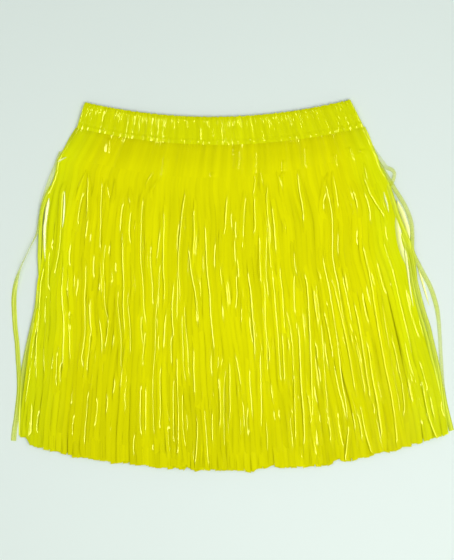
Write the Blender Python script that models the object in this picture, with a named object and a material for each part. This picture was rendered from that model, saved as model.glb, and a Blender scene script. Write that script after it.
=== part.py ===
"""Hula skirt of cut plastic film, laid flat.

The skirt lies on the plane z = 0 with its back down. +X is to the right, +Y runs up towards the waist and
+Z points away from the surface. All sizes are in metres. The front and back each have a gathered waistband,
an uncut margin of film with soft folds, and two layers of fringe that hang from narrow root strips.
"""

import math
from collections import namedtuple

import bpy
import numpy as np

# Gaps and walls
SEAM_GAP = 0.0003
LAYER_GAP = 0.0006
FILM_WALL = 0.0010

# Waistband
GATHERS = 60
BAND_BACK_WALL = 0.0020
BAND_BACK_RISE = 0.0008
BAND_FRONT_WALL = 0.0015
BAND_FRONT_RISE = 0.0019
LEAST_GATHER = 0.72
GATHER_SEED = 11

# Uncut margin below the band
MARGIN_FOLDS = 24
COLUMNS_PER_FOLD = 4
MARGIN_BACK_WALL = 0.0014
MARGIN_BACK_RISE = 0.0008
MARGIN_FRONT_WALL = 0.0011
MARGIN_FRONT_RISE = 0.0030
FOLD_SHAPE = (0.0, 0.6, 1.0, 0.5)
LEAST_FOLD = 0.35
FOLD_WANDER = 0.008
FOLD_WANDER_WAVES = 5
FOLD_SEED = 23

# Folded sides of the band and margin, as shares of the width and of the height that is left there
FOLDED_SIDE = 0.02
BACK_AT_SIDE = 0.6
GATHERS_AT_SIDE = 0.4
FOLDS_AT_SIDE = 0.3

# Fringe
STRIPS_A_LAYER = 62
STRIP_WIDTH = 0.0066
STRIP_CLEARANCE = 0.0008
ROOT_HEIGHT = 0.0060
SWAY = 0.0022
SWAY_TURNS = 1.1
SWAY_ACROSS = 2
HEM_JAG = 0.0045
TIP_LIFT = 0.0003
CURL_MOST = 0.0032
CURL_LEAST_SHARE = 0.2
CURL_TURNS = (0.8, 2.3)
CURL_LAG = 0.16
FRINGE_SEED = 41
SETTLE_FROM = 0.0078
SETTLE_OVER = 0.0070
ABOVE_FLOOR = 0.0004

# One row for each level of the skirt: its height on the page at the left, middle and right, and its ends
Level = namedtuple("Level", "up_left up_middle up_right left right")
BAND_TOP = Level(0.2085, 0.1920, 0.2115, -0.1670, 0.1335)
BAND_SEAM = Level(0.1785, 0.1595, 0.1795, -0.1760, 0.1490)
SLIT_LINE = Level(0.1430, 0.1130, 0.1490, -0.2030, 0.1640)
HEM = Level(-0.1770, -0.2080, -0.1690, -0.2400, 0.2460)

# Where the sides of the fringe are, from the slit line (down 0) to the hem (down 1)
Side = namedtuple("Side", "down left right")
SIDES = (
    Side(0.00, -0.2030, 0.1640),
    Side(0.15, -0.2180, 0.1825),
    Side(0.33, -0.2230, 0.1980),
    Side(0.50, -0.2270, 0.2120),
    Side(0.65, -0.2330, 0.2240),
    Side(0.80, -0.2390, 0.2350),
    Side(1.00, -0.2400, 0.2460),
)

# How far the outermost strip of a layer strays out from its neighbours, down its length
Swing = namedtuple("Swing", "down out")
LEFT_STRAY = (
    Swing(0.00, 0.0),
    Swing(0.20, 0.0),
    Swing(0.32, 0.0110),
    Swing(0.42, 0.0235),
    Swing(0.50, 0.0250),
    Swing(0.60, 0.0185),
    Swing(0.75, 0.0080),
    Swing(0.88, 0.0040),
    Swing(1.00, 0.0090),
)
RIGHT_STRAY = (
    Swing(0.00, 0.0),
    Swing(0.11, 0.0085),
    Swing(0.22, 0.0150),
    Swing(0.30, 0.0095),
    Swing(0.41, 0.0145),
    Swing(0.50, 0.0190),
    Swing(0.57, 0.0180),
    Swing(0.65, 0.0130),
    Swing(0.78, 0.0060),
    Swing(1.00, 0.0050),
)
RIGHT_INNER_STRAY = (
    Swing(0.00, 0.0),
    Swing(0.18, 0.0),
    Swing(0.32, 0.0060),
    Swing(0.50, 0.0060),
    Swing(0.64, 0.0040),
    Swing(0.80, 0.0010),
    Swing(1.00, 0.0020),
)

# One row for each level across a band panel: how far down from its top, and how much of its gathers rise
Ridge = namedtuple("Ridge", "down rise dip")
BAND_RIDGES = (
    Ridge(0.00, 0.80, 0.0008),
    Ridge(0.22, 0.45, 0.0002),
    Ridge(0.80, 1.00, 0.0000),
    Ridge(1.00, 0.70, 0.0006),
)
MARGIN_RIDGES = (
    Ridge(0.00, 1.00, 0.0000),
    Ridge(0.45, 0.80, 0.0002),
    Ridge(1.00, 0.35, 0.0004),
)

# One row for each layer of fringe: its strips, their first place in pitches, segments and underside
Layer = namedtuple("Layer", "name strips first segments base curls colour left_stray right_stray")
LAYER_STEP = FILM_WALL + LAYER_GAP
LAYERS = (
    Layer("fringe_back_outer", STRIPS_A_LAYER, 0.5, 3, 0.0, False, "film_deep", None, None),
    Layer("fringe_back_inner", STRIPS_A_LAYER - 1, 1.0, 3, LAYER_STEP, False, "film_deep", None, None),
    Layer("fringe_front_inner", STRIPS_A_LAYER - 1, 1.0, 3, 2 * LAYER_STEP, False, "film_deep",
          None, RIGHT_INNER_STRAY),
    Layer("fringe_front_outer", STRIPS_A_LAYER, 0.5, 5, 3 * LAYER_STEP, True, "film_bright",
          LEFT_STRAY, RIGHT_STRAY),
)
STRAY_SEGMENTS = 14

# One strip's curl: how high it rises, its waves down the strip, and how far one edge is behind the other
Curl = namedtuple("Curl", "rise turns lag")

# Film colours: base colour, roughness
Finish = namedtuple("Finish", "colour roughness")
FINISHES = {
    "film_bright": Finish((0.66, 0.66, 0.012, 1.0), 0.28),
    "film_deep": Finish((0.58, 0.60, 0.010, 1.0), 0.32),
    "film_gathered": Finish((0.64, 0.67, 0.014, 1.0), 0.35),
}


def clear_scene():
    for item in list(bpy.data.objects):
        bpy.data.objects.remove(item, do_unlink=True)


def film_material(name):
    finish = FINISHES[name]
    material = bpy.data.materials.new(name)
    material.use_nodes = True
    shader = material.node_tree.nodes["Principled BSDF"]
    shader.inputs["Base Color"].default_value = finish.colour
    shader.inputs["Roughness"].default_value = finish.roughness
    shader.inputs["Metallic"].default_value = 0.0
    material.diffuse_color = finish.colour
    return material


def height_on_page(level, across):
    """A parabola through the level's left, middle and right heights."""
    from_left = (1 - across) * (1 - 2 * across)
    from_middle = 4 * across * (1 - across)
    from_right = across * (2 * across - 1)
    return level.up_left * from_left + level.up_middle * from_middle + level.up_right * from_right


def place_on_level(level, across):
    x = level.left + (level.right - level.left) * across
    return x, height_on_page(level, across)


def place_between(upper, lower, across, down):
    """A point on the straight line from one level to the next, at the same share of their widths."""
    x_upper, y_upper = place_on_level(upper, across)
    x_lower, y_lower = place_on_level(lower, across)
    return x_upper + (x_lower - x_upper) * down, y_upper + (y_lower - y_upper) * down


def solid_from_sheet(name, tops, undersides, faces, material_name):
    """A closed solid: the sheet's faces over the tops, the same faces turned over below, and walls between.

    A wall stands on each edge that only one face of the sheet has.
    """
    count = len(tops)
    directed = set()
    for face in faces:
        for start, end in zip(face, face[1:] + face[:1]):
            directed.add((start, end))
    walls = [
        (end, start, start + count, end + count)
        for start, end in sorted(directed)
        if (end, start) not in directed
    ]
    turned = [tuple(index + count for index in reversed(face)) for face in faces]
    mesh = bpy.data.meshes.new(name)
    mesh.from_pydata(list(tops) + list(undersides), [], list(faces) + turned + walls)
    mesh.materials.append(film_material(material_name))
    mesh.validate()
    piece = bpy.data.objects.new(name, mesh)
    bpy.context.scene.collection.objects.link(piece)
    return piece


def panel(name, upper, lower, gap_above, ridges, shares, crests, walls, material_name):
    """A gathered panel between two levels.

    shares places the columns across the panel. crests gives each column's height over the wall's lowest
    place, from 0 to 1, and walls turns a ridge and a crest into the underside and top there.
    """
    length = place_on_level(upper, 0.5)[1] - place_on_level(lower, 0.5)[1]
    trimmed = gap_above / length
    tops = []
    undersides = []
    for ridge in ridges:
        down = trimmed + (1 - trimmed) * ridge.down
        for share, crest in zip(shares, crests):
            x, y = place_between(upper, lower, share, down)
            underside, top = walls(ridge, crest, share)
            undersides.append((x, y, underside))
            tops.append((x, y, top))
    columns = len(shares)
    faces = []
    for row in range(len(ridges) - 1):
        for column in range(columns - 1):
            corner = row * columns + column
            faces.append((corner, corner + columns, corner + columns + 1, corner + 1))
    return solid_from_sheet(name, tops, undersides, faces, material_name)


def side_round(share):
    """1 over most of the width, falling to 0 at the folded sides."""
    return math.sqrt(min(1.0, min(share, 1 - share) / FOLDED_SIDE))


def towards_side(least, share):
    """1 over most of the width, falling to the given least at the folded sides."""
    return least + (1 - least) * side_round(share)


def uneven(count, least, seed):
    return np.random.default_rng(seed).uniform(least, 1.0, count)


def waistbands():
    """Two panels of zigzag gathers: every second column is a crest."""
    columns = 2 * GATHERS + 1
    shares = np.linspace(0.0, 1.0, columns)
    heights = uneven(columns, LEAST_GATHER, GATHER_SEED)
    crests = [heights[column] * (column % 2) for column in range(columns)]

    def back_level(share):
        return BAND_BACK_WALL * towards_side(BACK_AT_SIDE, share)

    def back_wall(ridge, crest, share):
        return 0.0, back_level(share) + BAND_BACK_RISE * ridge.rise * crest - ridge.dip

    def front_wall(ridge, crest, share):
        resting = back_level(share) + BAND_BACK_RISE + SEAM_GAP - 0.5 * ridge.dip
        underside = resting + BAND_FRONT_RISE * ridge.rise * crest * towards_side(GATHERS_AT_SIDE, share)
        return underside, underside + BAND_FRONT_WALL

    ends = (BAND_RIDGES[0], BAND_RIDGES[-1])
    panel("waistband_back", BAND_TOP, BAND_SEAM, 0.0, ends, shares, crests, back_wall, "film_gathered")
    panel("waistband_front", BAND_TOP, BAND_SEAM, 0.0, BAND_RIDGES, shares, crests, front_wall,
          "film_gathered")


def margins():
    """Soft folds: low, rising, crest and falling columns, with the folds a little unevenly spaced."""
    columns = MARGIN_FOLDS * COLUMNS_PER_FOLD + 1
    even = np.linspace(0.0, 1.0, columns)
    wander = np.sin(2 * math.pi * FOLD_WANDER_WAVES * even) * np.sin(math.pi * even)
    shares = even + FOLD_WANDER * wander
    heights = uneven(MARGIN_FOLDS + 1, LEAST_FOLD, FOLD_SEED)
    crests = [
        heights[column // COLUMNS_PER_FOLD] * FOLD_SHAPE[column % COLUMNS_PER_FOLD]
        for column in range(columns)
    ]

    def back_wall(ridge, crest, share):
        return 0.0, MARGIN_BACK_WALL + MARGIN_BACK_RISE * ridge.rise * crest

    def front_wall(ridge, crest, share):
        resting = MARGIN_BACK_WALL + MARGIN_BACK_RISE + SEAM_GAP + ridge.dip
        underside = resting + MARGIN_FRONT_RISE * ridge.rise * crest * towards_side(FOLDS_AT_SIDE, share)
        return underside, underside + MARGIN_FRONT_WALL

    every_second = slice(None, None, 2)
    ends = (MARGIN_RIDGES[0], MARGIN_RIDGES[-1])
    panel("yoke_back", BAND_SEAM, SLIT_LINE, SEAM_GAP, ends, shares[every_second], crests[every_second],
          back_wall, "film_gathered")
    panel("yoke_front", BAND_SEAM, SLIT_LINE, SEAM_GAP, MARGIN_RIDGES, shares, crests, front_wall,
          "film_gathered")


def smooth_through(down, stations, values):
    """A cubic through a table's points, whose slope at each point follows the points beside it."""
    slopes = np.gradient(values, stations)
    span = min(max(int(np.searchsorted(stations, down, side="right")) - 1, 0), len(stations) - 2)
    length = stations[span + 1] - stations[span]
    share = (down - stations[span]) / length
    blend = smooth_step(share)
    return (
        values[span] * (1 - blend)
        + values[span + 1] * blend
        + slopes[span] * length * share * (1 - share) ** 2
        - slopes[span + 1] * length * share ** 2 * (1 - share)
    )


def sides_at(down):
    downs = [side.down for side in SIDES]
    left = smooth_through(down, downs, [side.left for side in SIDES])
    right = smooth_through(down, downs, [side.right for side in SIDES])
    return left, right


def swing_at(stray, down):
    """How far a stray strip is out, never inwards."""
    if stray is None:
        return 0.0
    out = smooth_through(down, [swing.down for swing in stray], [swing.out for swing in stray])
    return max(0.0, out)


def smooth_step(value):
    share = min(1.0, max(0.0, value))
    return share * share * (3 - 2 * share)


def strip_rows(layer, number, jag, curl):
    """The left and right edge points of one strip, from its root to its cut end.

    The strip's middle keeps the same share of the skirt's width all the way down. It sways with its
    neighbours, and an outermost strip may stray outwards and settle towards the surface where it is clear
    of the strips below. A curled strip rises by a wave down its length, one edge before the other.
    """
    share = (number + layer.first) / STRIPS_A_LAYER
    stray = None
    outwards = 0
    if number == 0:
        stray, outwards = layer.left_stray, -1
    if number == layer.strips - 1:
        stray, outwards = layer.right_stray, 1
    segments = STRAY_SEGMENTS if stray else layer.segments
    root_y = height_on_page(SLIT_LINE, share) - SEAM_GAP - ROOT_HEIGHT
    end_y = height_on_page(HEM, share) + HEM_JAG * jag
    rows = []
    for segment in range(segments + 1):
        down = segment / segments
        left, right = sides_at(down)
        pitch = (right - left) / STRIPS_A_LAYER
        half = 0.5 * min(STRIP_WIDTH, pitch - STRIP_CLEARANCE)
        out = swing_at(stray, down)
        sway = SWAY * math.sin(2 * math.pi * (SWAY_TURNS * down + SWAY_ACROSS * share)) * down
        x = left + (right - left) * share + outwards * out + sway
        y = root_y + (end_y - root_y) * down
        settled = 1 - smooth_step((out - SETTLE_FROM) / SETTLE_OVER)
        base = ABOVE_FLOOR + (layer.base - ABOVE_FLOOR) * settled if stray else layer.base
        if segment == segments and not stray:
            base += TIP_LIFT
        edges = []
        for side in (-1, 1):
            wave = 0.5 - 0.5 * math.cos(2 * math.pi * (curl.turns * down + side * curl.lag * down))
            lift = curl.rise * wave * settled
            edges.append((x + side * half, y, base + lift))
        rows.append(edges)
    return rows


def fringe(layer, seed):
    """A comb of strips fused into a root strip, as one solid."""
    random = np.random.default_rng(seed)
    jags = random.uniform(-1.0, 1.0, layer.strips)
    rises = random.uniform(CURL_LEAST_SHARE, 1.0, layer.strips) * CURL_MOST * layer.curls
    turns = random.uniform(*CURL_TURNS, layer.strips)
    lags = random.uniform(-CURL_LAG, CURL_LAG, layer.strips)
    undersides = []
    for number in range(layer.strips):
        pitches = number + layer.first
        if number == 0:
            pitches -= 0.5
        if number == layer.strips - 1:
            pitches += 0.5
        x, y = place_on_level(SLIT_LINE, pitches / STRIPS_A_LAYER)
        undersides.append((x, y - SEAM_GAP, layer.base))
    faces = []
    previous_right = None
    for number in range(layer.strips):
        curl = Curl(rises[number], turns[number], lags[number])
        rows = strip_rows(layer, number, jags[number], curl)
        first = len(undersides)
        for left_edge, right_edge in rows:
            undersides.append(left_edge)
            undersides.append(right_edge)
        faces.append((number, first, first + 1))
        if previous_right is not None:
            faces.append((number - 1, previous_right, first, number))
        previous_right = first + 1
        for row in range(len(rows) - 1):
            corner = first + 2 * row
            faces.append((corner, corner + 2, corner + 3, corner + 1))
    tops = [(x, y, z + FILM_WALL) for x, y, z in undersides]
    return solid_from_sheet(layer.name, tops, undersides, faces, layer.colour)


def centre_on_origin():
    """Moves every piece so that the middle of the skirt's box is over the origin."""
    corners = np.array([
        vertex.co[:2]
        for piece in bpy.data.objects
        for vertex in piece.data.vertices
    ])
    middle = 0.5 * (corners.min(axis=0) + corners.max(axis=0))
    for piece in bpy.data.objects:
        piece.location = (-middle[0], -middle[1], 0.0)


def main():
    clear_scene()
    waistbands()
    margins()
    for seed, layer in enumerate(LAYERS, start=FRINGE_SEED):
        fringe(layer, seed)
    centre_on_origin()


main()
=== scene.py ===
"""Looks of a hula skirt of cut plastic film, laid flat and seen from straight above.

The file is laid out as an add-on and is run as a script. Each piece of film is a surface worked out on a
grid: one parameter runs across the skirt or a strip, the other runs down it. All sizes are in metres.
"""

import math
from collections import namedtuple

import bpy
import numpy as np
from bpy.props import FloatProperty, FloatVectorProperty, IntProperty, PointerProperty
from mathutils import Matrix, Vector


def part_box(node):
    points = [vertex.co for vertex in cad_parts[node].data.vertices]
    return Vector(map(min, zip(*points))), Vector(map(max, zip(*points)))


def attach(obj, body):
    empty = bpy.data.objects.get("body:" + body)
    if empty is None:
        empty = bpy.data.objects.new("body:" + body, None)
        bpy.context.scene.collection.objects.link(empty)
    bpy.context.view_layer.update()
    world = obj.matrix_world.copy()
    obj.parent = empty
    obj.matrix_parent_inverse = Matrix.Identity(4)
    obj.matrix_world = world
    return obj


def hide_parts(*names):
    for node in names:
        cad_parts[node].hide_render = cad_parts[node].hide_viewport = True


bl_info = {
    "name": "Film hula skirt",
    "version": (1, 0, 0),
    "blender": (4, 5, 0),
    "location": "View3D > Sidebar > Skirt",
    "description": "Builds the gathered band, film margin, fringe and stray strips of a hula skirt",
    "category": "Object",
}

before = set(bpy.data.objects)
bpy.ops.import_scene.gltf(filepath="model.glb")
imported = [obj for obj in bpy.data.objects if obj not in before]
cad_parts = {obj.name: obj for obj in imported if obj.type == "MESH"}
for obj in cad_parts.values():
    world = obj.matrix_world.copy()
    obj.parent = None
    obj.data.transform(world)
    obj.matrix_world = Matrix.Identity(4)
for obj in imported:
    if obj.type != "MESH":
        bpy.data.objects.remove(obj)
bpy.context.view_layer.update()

# One row for each level of the skirt: its height on the page at the left, middle and right, and its ends
Level = namedtuple("Level", "up_left up_middle up_right left right")
BAND_TOP = Level(0.2085, 0.1920, 0.2115, -0.1670, 0.1335)
BAND_SEAM = Level(0.1785, 0.1595, 0.1795, -0.1760, 0.1490)
SLIT_LINE = Level(0.1430, 0.1130, 0.1490, -0.1985, 0.1640)
HEM = Level(-0.1770, -0.2080, -0.1690, -0.2400, 0.2460)

# Where the sides of the pile of strips are, from the slit line (down 0) to the hem (down 1)
Side = namedtuple("Side", "down left right")
SIDES = (
    Side(0.00, -0.1985, 0.1640),
    Side(0.05, -0.2010, 0.1685),
    Side(0.10, -0.2060, 0.1755),
    Side(0.15, -0.2095, 0.1815),
    Side(0.20, -0.2120, 0.1840),
    Side(0.25, -0.2135, 0.1855),
    Side(0.30, -0.2145, 0.1870),
    Side(0.34, -0.2150, 0.1900),
    Side(0.38, -0.2165, 0.1945),
    Side(0.44, -0.2205, 0.2000),
    Side(0.50, -0.2220, 0.2045),
    Side(0.57, -0.2235, 0.2100),
    Side(0.65, -0.2285, 0.2170),
    Side(0.72, -0.2320, 0.2230),
    Side(0.80, -0.2350, 0.2310),
    Side(0.87, -0.2380, 0.2370),
    Side(0.93, -0.2400, 0.2410),
    Side(1.00, -0.2410, 0.2450),
)

# How far the strips' ends stand above the hem's curve, read across the skirt
End = namedtuple("End", "across rise")
STRIP_ENDS = (
    End(0.000, 0.0058), End(0.016, 0.0060), End(0.023, -0.0005), End(0.032, -0.0022), End(0.050, -0.0012),
    End(0.070, -0.0024), End(0.085, -0.0006), End(0.108, -0.0026), End(0.125, -0.0034), End(0.145, -0.0018),
    End(0.165, -0.0012), End(0.190, -0.0022), End(0.212, -0.0030), End(0.240, -0.0013), End(0.265, -0.0008),
    End(0.300, -0.0011), End(0.335, -0.0030), End(0.350, -0.0024), End(0.359, 0.0002), End(0.368, -0.0030),
    End(0.379, -0.0026), End(0.387, 0.0018), End(0.396, -0.0024), End(0.410, -0.0032), End(0.425, -0.0008),
    End(0.443, -0.0028), End(0.465, -0.0014), End(0.480, -0.0026), End(0.490, -0.0012), End(0.510, -0.0028),
    End(0.530, -0.0034), End(0.546, -0.0056), End(0.556, -0.0012), End(0.575, -0.0015), End(0.593, 0.0010),
    End(0.610, -0.0020), End(0.625, -0.0040), End(0.640, -0.0020), End(0.657, -0.0040), End(0.680, -0.0030),
    End(0.705, -0.0046), End(0.715, -0.0052), End(0.733, -0.0020), End(0.742, -0.0004), End(0.755, -0.0028),
    End(0.770, -0.0038), End(0.785, -0.0020), End(0.810, -0.0024), End(0.826, -0.0010), End(0.840, -0.0018),
    End(0.850, -0.0008), End(0.873, -0.0048), End(0.885, -0.0022), End(0.905, -0.0012), End(0.925, -0.0025),
    End(0.940, -0.0024), End(0.950, -0.0004), End(0.967, -0.0018), End(0.976, 0.0004), End(0.990, -0.0020),
    End(1.000, 0.0020),
)

# How the gathered band is built down its height: where the film lies, how deep its gathers are, and how
# strong the finest ones
BandRow = namedtuple("BandRow", "down height depth crinkle")
BAND_ROWS = (
    BandRow(0.00, 0.0036, 0.60, 1.00),
    BandRow(0.06, 0.0046, 1.00, 1.00),
    BandRow(0.14, 0.0053, 1.00, 0.90),
    BandRow(0.30, 0.0056, 0.85, 0.70),
    BandRow(0.55, 0.0058, 0.75, 0.50),
    BandRow(0.72, 0.0056, 0.75, 0.55),
    BandRow(0.80, 0.0052, 0.80, 0.80),
    BandRow(0.88, 0.0057, 1.00, 1.00),
    BandRow(1.00, 0.0052, 0.80, 0.90),
)

# One row for each set of strips: node, strips, first and last share, rings down, height of the set, how
# far every second strip lies above the first, how far their tops dive, how much shorter the set is, how
# much the strips tilt, wander and hop, how many curls a strip has and how far they turn, and the seed
Layer = namedtuple(
    "Layer", "node strips start end rings height lift dive short tilt wander hop curls bend seed"
)
FRONT_TOP = Layer(
    "fringe_front_outer", 74, 0.0, 1.0, 70, 0.0052, 0.00025, 0.0, 0.0, 0.035, 0.0006, 0.00012, 4, 1.0, 3
)
FRONT_UNDER = Layer(
    "fringe_front_inner", 74, 0.007, 1.0, 40, 0.0044, 0.0002, 0.0012, 0.002, 0.03, 0.0009, 0.0001, 2, 0.3, 7
)
BACK_UNDER = Layer(
    "fringe_back_inner", 66, 0.0, 1.0, 24, 0.0022, 0.0004, 0.0006, 0.003, 0.03, 0.0012, 0.0001, 2, 0.2, 11
)
BACK_LAST = Layer(
    "fringe_back_outer", 66, 0.0, 1.0, 24, 0.0006, 0.0004, 0.0, 0.004, 0.02, 0.0010, 0.0001, 2, 0.2, 13
)

# A strip's cross-section has six facets. Each row says how a kind of curl shares its angle over them
FACETS = 6
CURL_KINDS = np.array([
    (0.0, 0.0, 0.0, 0.15, 0.55, 1.0),
    (1.0, 0.55, 0.15, 0.0, 0.0, 0.0),
    (0.2, 0.6, 1.0, -1.0, -0.6, -0.2),
])
CURL_SHARES = (0.38, 0.38, 0.24)

# The main creases of the fringe: where each begins, how far over its middle is, and where
# it ends, on the page
Crease = namedtuple("Crease", "x_top y_top x_middle x_bottom y_bottom")
FRINGE_CREASES = (
    Crease(0.0740, 0.129, 0.0775, 0.0810, 0.073),
    Crease(0.1150, 0.127, 0.1175, 0.1195, 0.085),
    Crease(-0.1645, 0.125, -0.1635, -0.1635, 0.081),
    Crease(0.1050, 0.117, 0.1130, 0.1265, -0.045),
    Crease(-0.1475, 0.115, -0.1485, -0.1495, 0.043),
    Crease(0.0390, 0.113, 0.0410, 0.0480, 0.005),
    Crease(-0.0540, 0.105, -0.0600, -0.0590, -0.016),
    Crease(-0.1915, 0.105, -0.1940, -0.2010, 0.016),
    Crease(-0.0055, 0.101, -0.0075, -0.0090, 0.056),
    Crease(0.0150, 0.098, 0.0130, 0.0115, 0.052),
    Crease(0.0255, 0.098, 0.0255, 0.0255, 0.059),
    Crease(-0.1010, 0.097, -0.1030, -0.0975, -0.043),
    Crease(0.0455, 0.090, 0.0480, 0.0505, 0.038),
    Crease(-0.0430, 0.088, -0.0430, -0.0405, 0.039),
    Crease(-0.0770, 0.084, -0.0780, -0.0770, -0.018),
    Crease(-0.1155, 0.084, -0.1165, -0.1165, 0.050),
    Crease(-0.0305, 0.070, -0.0260, -0.0200, -0.074),
    Crease(-0.0805, 0.067, -0.0825, -0.0850, 0.028),
    Crease(0.0390, 0.066, 0.0380, 0.0400, -0.013),
    Crease(0.0310, 0.056, 0.0310, 0.0330, 0.005),
    Crease(0.1695, 0.052, 0.1890, 0.2035, -0.087),
    Crease(-0.1235, 0.052, -0.1225, -0.1215, -0.052),
    Crease(-0.1440, 0.045, -0.1440, -0.1415, -0.036),
    Crease(-0.0930, 0.045, -0.0915, -0.0905, -0.022),
    Crease(0.1490, 0.042, 0.1685, 0.1865, -0.177),
    Crease(-0.0485, 0.042, -0.0430, -0.0370, -0.043),
    Crease(0.0695, 0.042, 0.0705, 0.0740, 0.010),
    Crease(0.1015, 0.035, 0.1175, 0.1300, -0.159),
    Crease(-0.2075, 0.035, -0.2075, -0.2075, -0.005),
    Crease(-0.1485, 0.033, -0.1475, -0.1465, -0.015),
    Crease(-0.1905, 0.030, -0.1905, -0.1905, -0.095),
    Crease(-0.0815, 0.024, -0.0870, -0.0885, -0.168),
    Crease(-0.1665, 0.024, -0.1665, -0.1710, -0.086),
    Crease(0.0535, 0.022, 0.0570, 0.0595, -0.047),
    Crease(-0.2135, 0.021, -0.2190, -0.2210, -0.108),
    Crease(0.0185, 0.020, 0.0230, 0.0265, -0.082),
    Crease(0.0445, 0.018, 0.0505, 0.0550, -0.109),
    Crease(-0.1850, 0.017, -0.1850, -0.1835, -0.022),
    Crease(-0.0620, 0.017, -0.0620, -0.0620, -0.038),
    Crease(0.0695, 0.014, 0.0695, 0.0705, -0.034),
    Crease(0.0035, 0.013, 0.0050, 0.0025, -0.027),
    Crease(0.0830, 0.012, 0.0890, 0.0910, -0.145),
    Crease(0.0355, 0.010, 0.0380, 0.0400, -0.099),
    Crease(0.1240, 0.010, 0.1300, 0.1355, -0.045),
    Crease(0.1130, 0.006, 0.1275, 0.1390, -0.117),
    Crease(-0.0655, 0.006, -0.0680, -0.0655, -0.059),
    Crease(0.0945, 0.001, 0.1035, 0.1080, -0.162),
    Crease(0.1675, -0.007, 0.1785, 0.1900, -0.149),
    Crease(-0.1290, -0.007, -0.1260, -0.1260, -0.090),
    Crease(-0.1180, -0.009, -0.1155, -0.1155, -0.075),
    Crease(-0.1610, -0.016, -0.1600, -0.1575, -0.060),
    Crease(-0.2110, -0.018, -0.2120, -0.2120, -0.102),
    Crease(0.1390, -0.021, 0.1480, 0.1560, -0.124),
    Crease(0.0105, -0.021, 0.0105, 0.0105, -0.044),
    Crease(-0.0540, -0.022, -0.0510, -0.0485, -0.102),
    Crease(0.0615, -0.028, 0.0675, 0.0685, -0.107),
    Crease(-0.0735, -0.030, -0.0760, -0.0770, -0.075),
    Crease(-0.1495, -0.034, -0.1475, -0.1465, -0.078),
    Crease(-0.0565, -0.035, -0.0555, -0.0530, -0.108),
    Crease(-0.1030, -0.035, -0.1030, -0.1020, -0.065),
    Crease(-0.1395, -0.037, -0.1415, -0.1440, -0.072),
    Crease(-0.2260, -0.038, -0.2290, -0.2350, -0.091),
    Crease(-0.1850, -0.040, -0.1835, -0.1825, -0.086),
    Crease(0.1330, -0.042, 0.1425, 0.1500, -0.120),
    Crease(0.0755, -0.044, 0.0785, 0.0820, -0.178),
    Crease(-0.1610, -0.054, -0.1620, -0.1645, -0.095),
    Crease(0.0570, -0.054, 0.0580, 0.0595, -0.105),
    Crease(-0.0690, -0.059, -0.0690, -0.0690, -0.090),
    Crease(0.1810, -0.061, 0.1900, 0.1945, -0.146),
    Crease(0.1935, -0.061, 0.1990, 0.2060, -0.110),
    Crease(0.1535, -0.065, 0.1615, 0.1695, -0.170),
    Crease(-0.0430, -0.071, -0.0430, -0.0415, -0.125),
    Crease(0.0035, -0.074, 0.0070, 0.0105, -0.113),
    Crease(0.1580, -0.074, 0.1625, 0.1685, -0.125),
    Crease(-0.1985, -0.076, -0.1985, -0.1995, -0.111),
    Crease(0.0310, -0.078, 0.0320, 0.0320, -0.162),
    Crease(-0.0620, -0.080, -0.0610, -0.0610, -0.191),
    Crease(-0.0030, -0.087, -0.0030, -0.0030, -0.153),
    Crease(0.2125, -0.088, 0.2160, 0.2205, -0.118),
    Crease(-0.0815, -0.091, -0.0815, -0.0825, -0.161),
    Crease(-0.2325, -0.091, -0.2360, -0.2385, -0.147),
    Crease(0.0185, -0.093, 0.0205, 0.0220, -0.154),
    Crease(-0.0075, -0.096, -0.0090, -0.0090, -0.182),
    Crease(0.0705, -0.101, 0.0705, 0.0720, -0.171),
    Crease(-0.0135, -0.103, -0.0135, -0.0135, -0.159),
    Crease(-0.0665, -0.107, -0.0665, -0.0665, -0.179),
    Crease(0.2150, -0.110, 0.2205, 0.2320, -0.175),
    Crease(-0.0965, -0.112, -0.0975, -0.0975, -0.166),
    Crease(-0.1040, -0.114, -0.1040, -0.1040, -0.168),
    Crease(-0.1635, -0.121, -0.1655, -0.1680, -0.180),
    Crease(0.0865, -0.124, 0.0880, 0.0900, -0.153),
    Crease(-0.0565, -0.126, -0.0555, -0.0530, -0.188),
    Crease(0.1455, -0.137, 0.1500, 0.1580, -0.192),
    Crease(-0.0215, -0.142, -0.0225, -0.0215, -0.176),
    Crease(-0.0315, -0.143, -0.0290, -0.0270, -0.205),
    Crease(0.1615, -0.146, 0.1660, 0.1705, -0.191),
    Crease(-0.0395, -0.149, -0.0395, -0.0415, -0.202),
    Crease(0.1320, -0.159, 0.1300, 0.1285, -0.192),
    Crease(0.1505, 0.120, 0.1590, 0.1725, 0.080),
    Crease(0.1690, 0.103, 0.1715, 0.1745, 0.079),
    Crease(0.0525, 0.127, 0.0550, 0.0560, 0.108),
    Crease(0.0610, 0.129, 0.0575, 0.0560, 0.120),
    Crease(-0.0838, 0.1184, -0.0870, -0.0901, 0.1082),
    Crease(-0.0940, 0.1263, -0.0957, -0.0974, 0.1150),
    Crease(-0.1345, 0.116, -0.1355, -0.1350, 0.106),
    Crease(-0.1414, 0.1116, -0.1404, -0.1392, 0.1002),
    Crease(-0.1175, 0.1025, -0.1160, -0.1146, 0.0911),
    Crease(-0.1669, 0.1286, -0.1712, -0.1748, 0.1070),
    Crease(0.0250, 0.126, 0.0248, 0.0243, 0.104),
    Crease(0.0332, 0.1286, 0.0340, 0.0344, 0.1138),
    Crease(0.1093, 0.1252, 0.1073, 0.1053, 0.1161),
    Crease(0.1025, 0.1161, 0.1046, 0.1066, 0.1093),
    Crease(0.1059, 0.1082, 0.1030, 0.1025, 0.0855),
    Crease(0.1377, 0.1082, 0.1400, 0.1423, 0.0889),
    Crease(0.1479, 0.1366, 0.1500, 0.1520, 0.1241),
)

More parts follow.
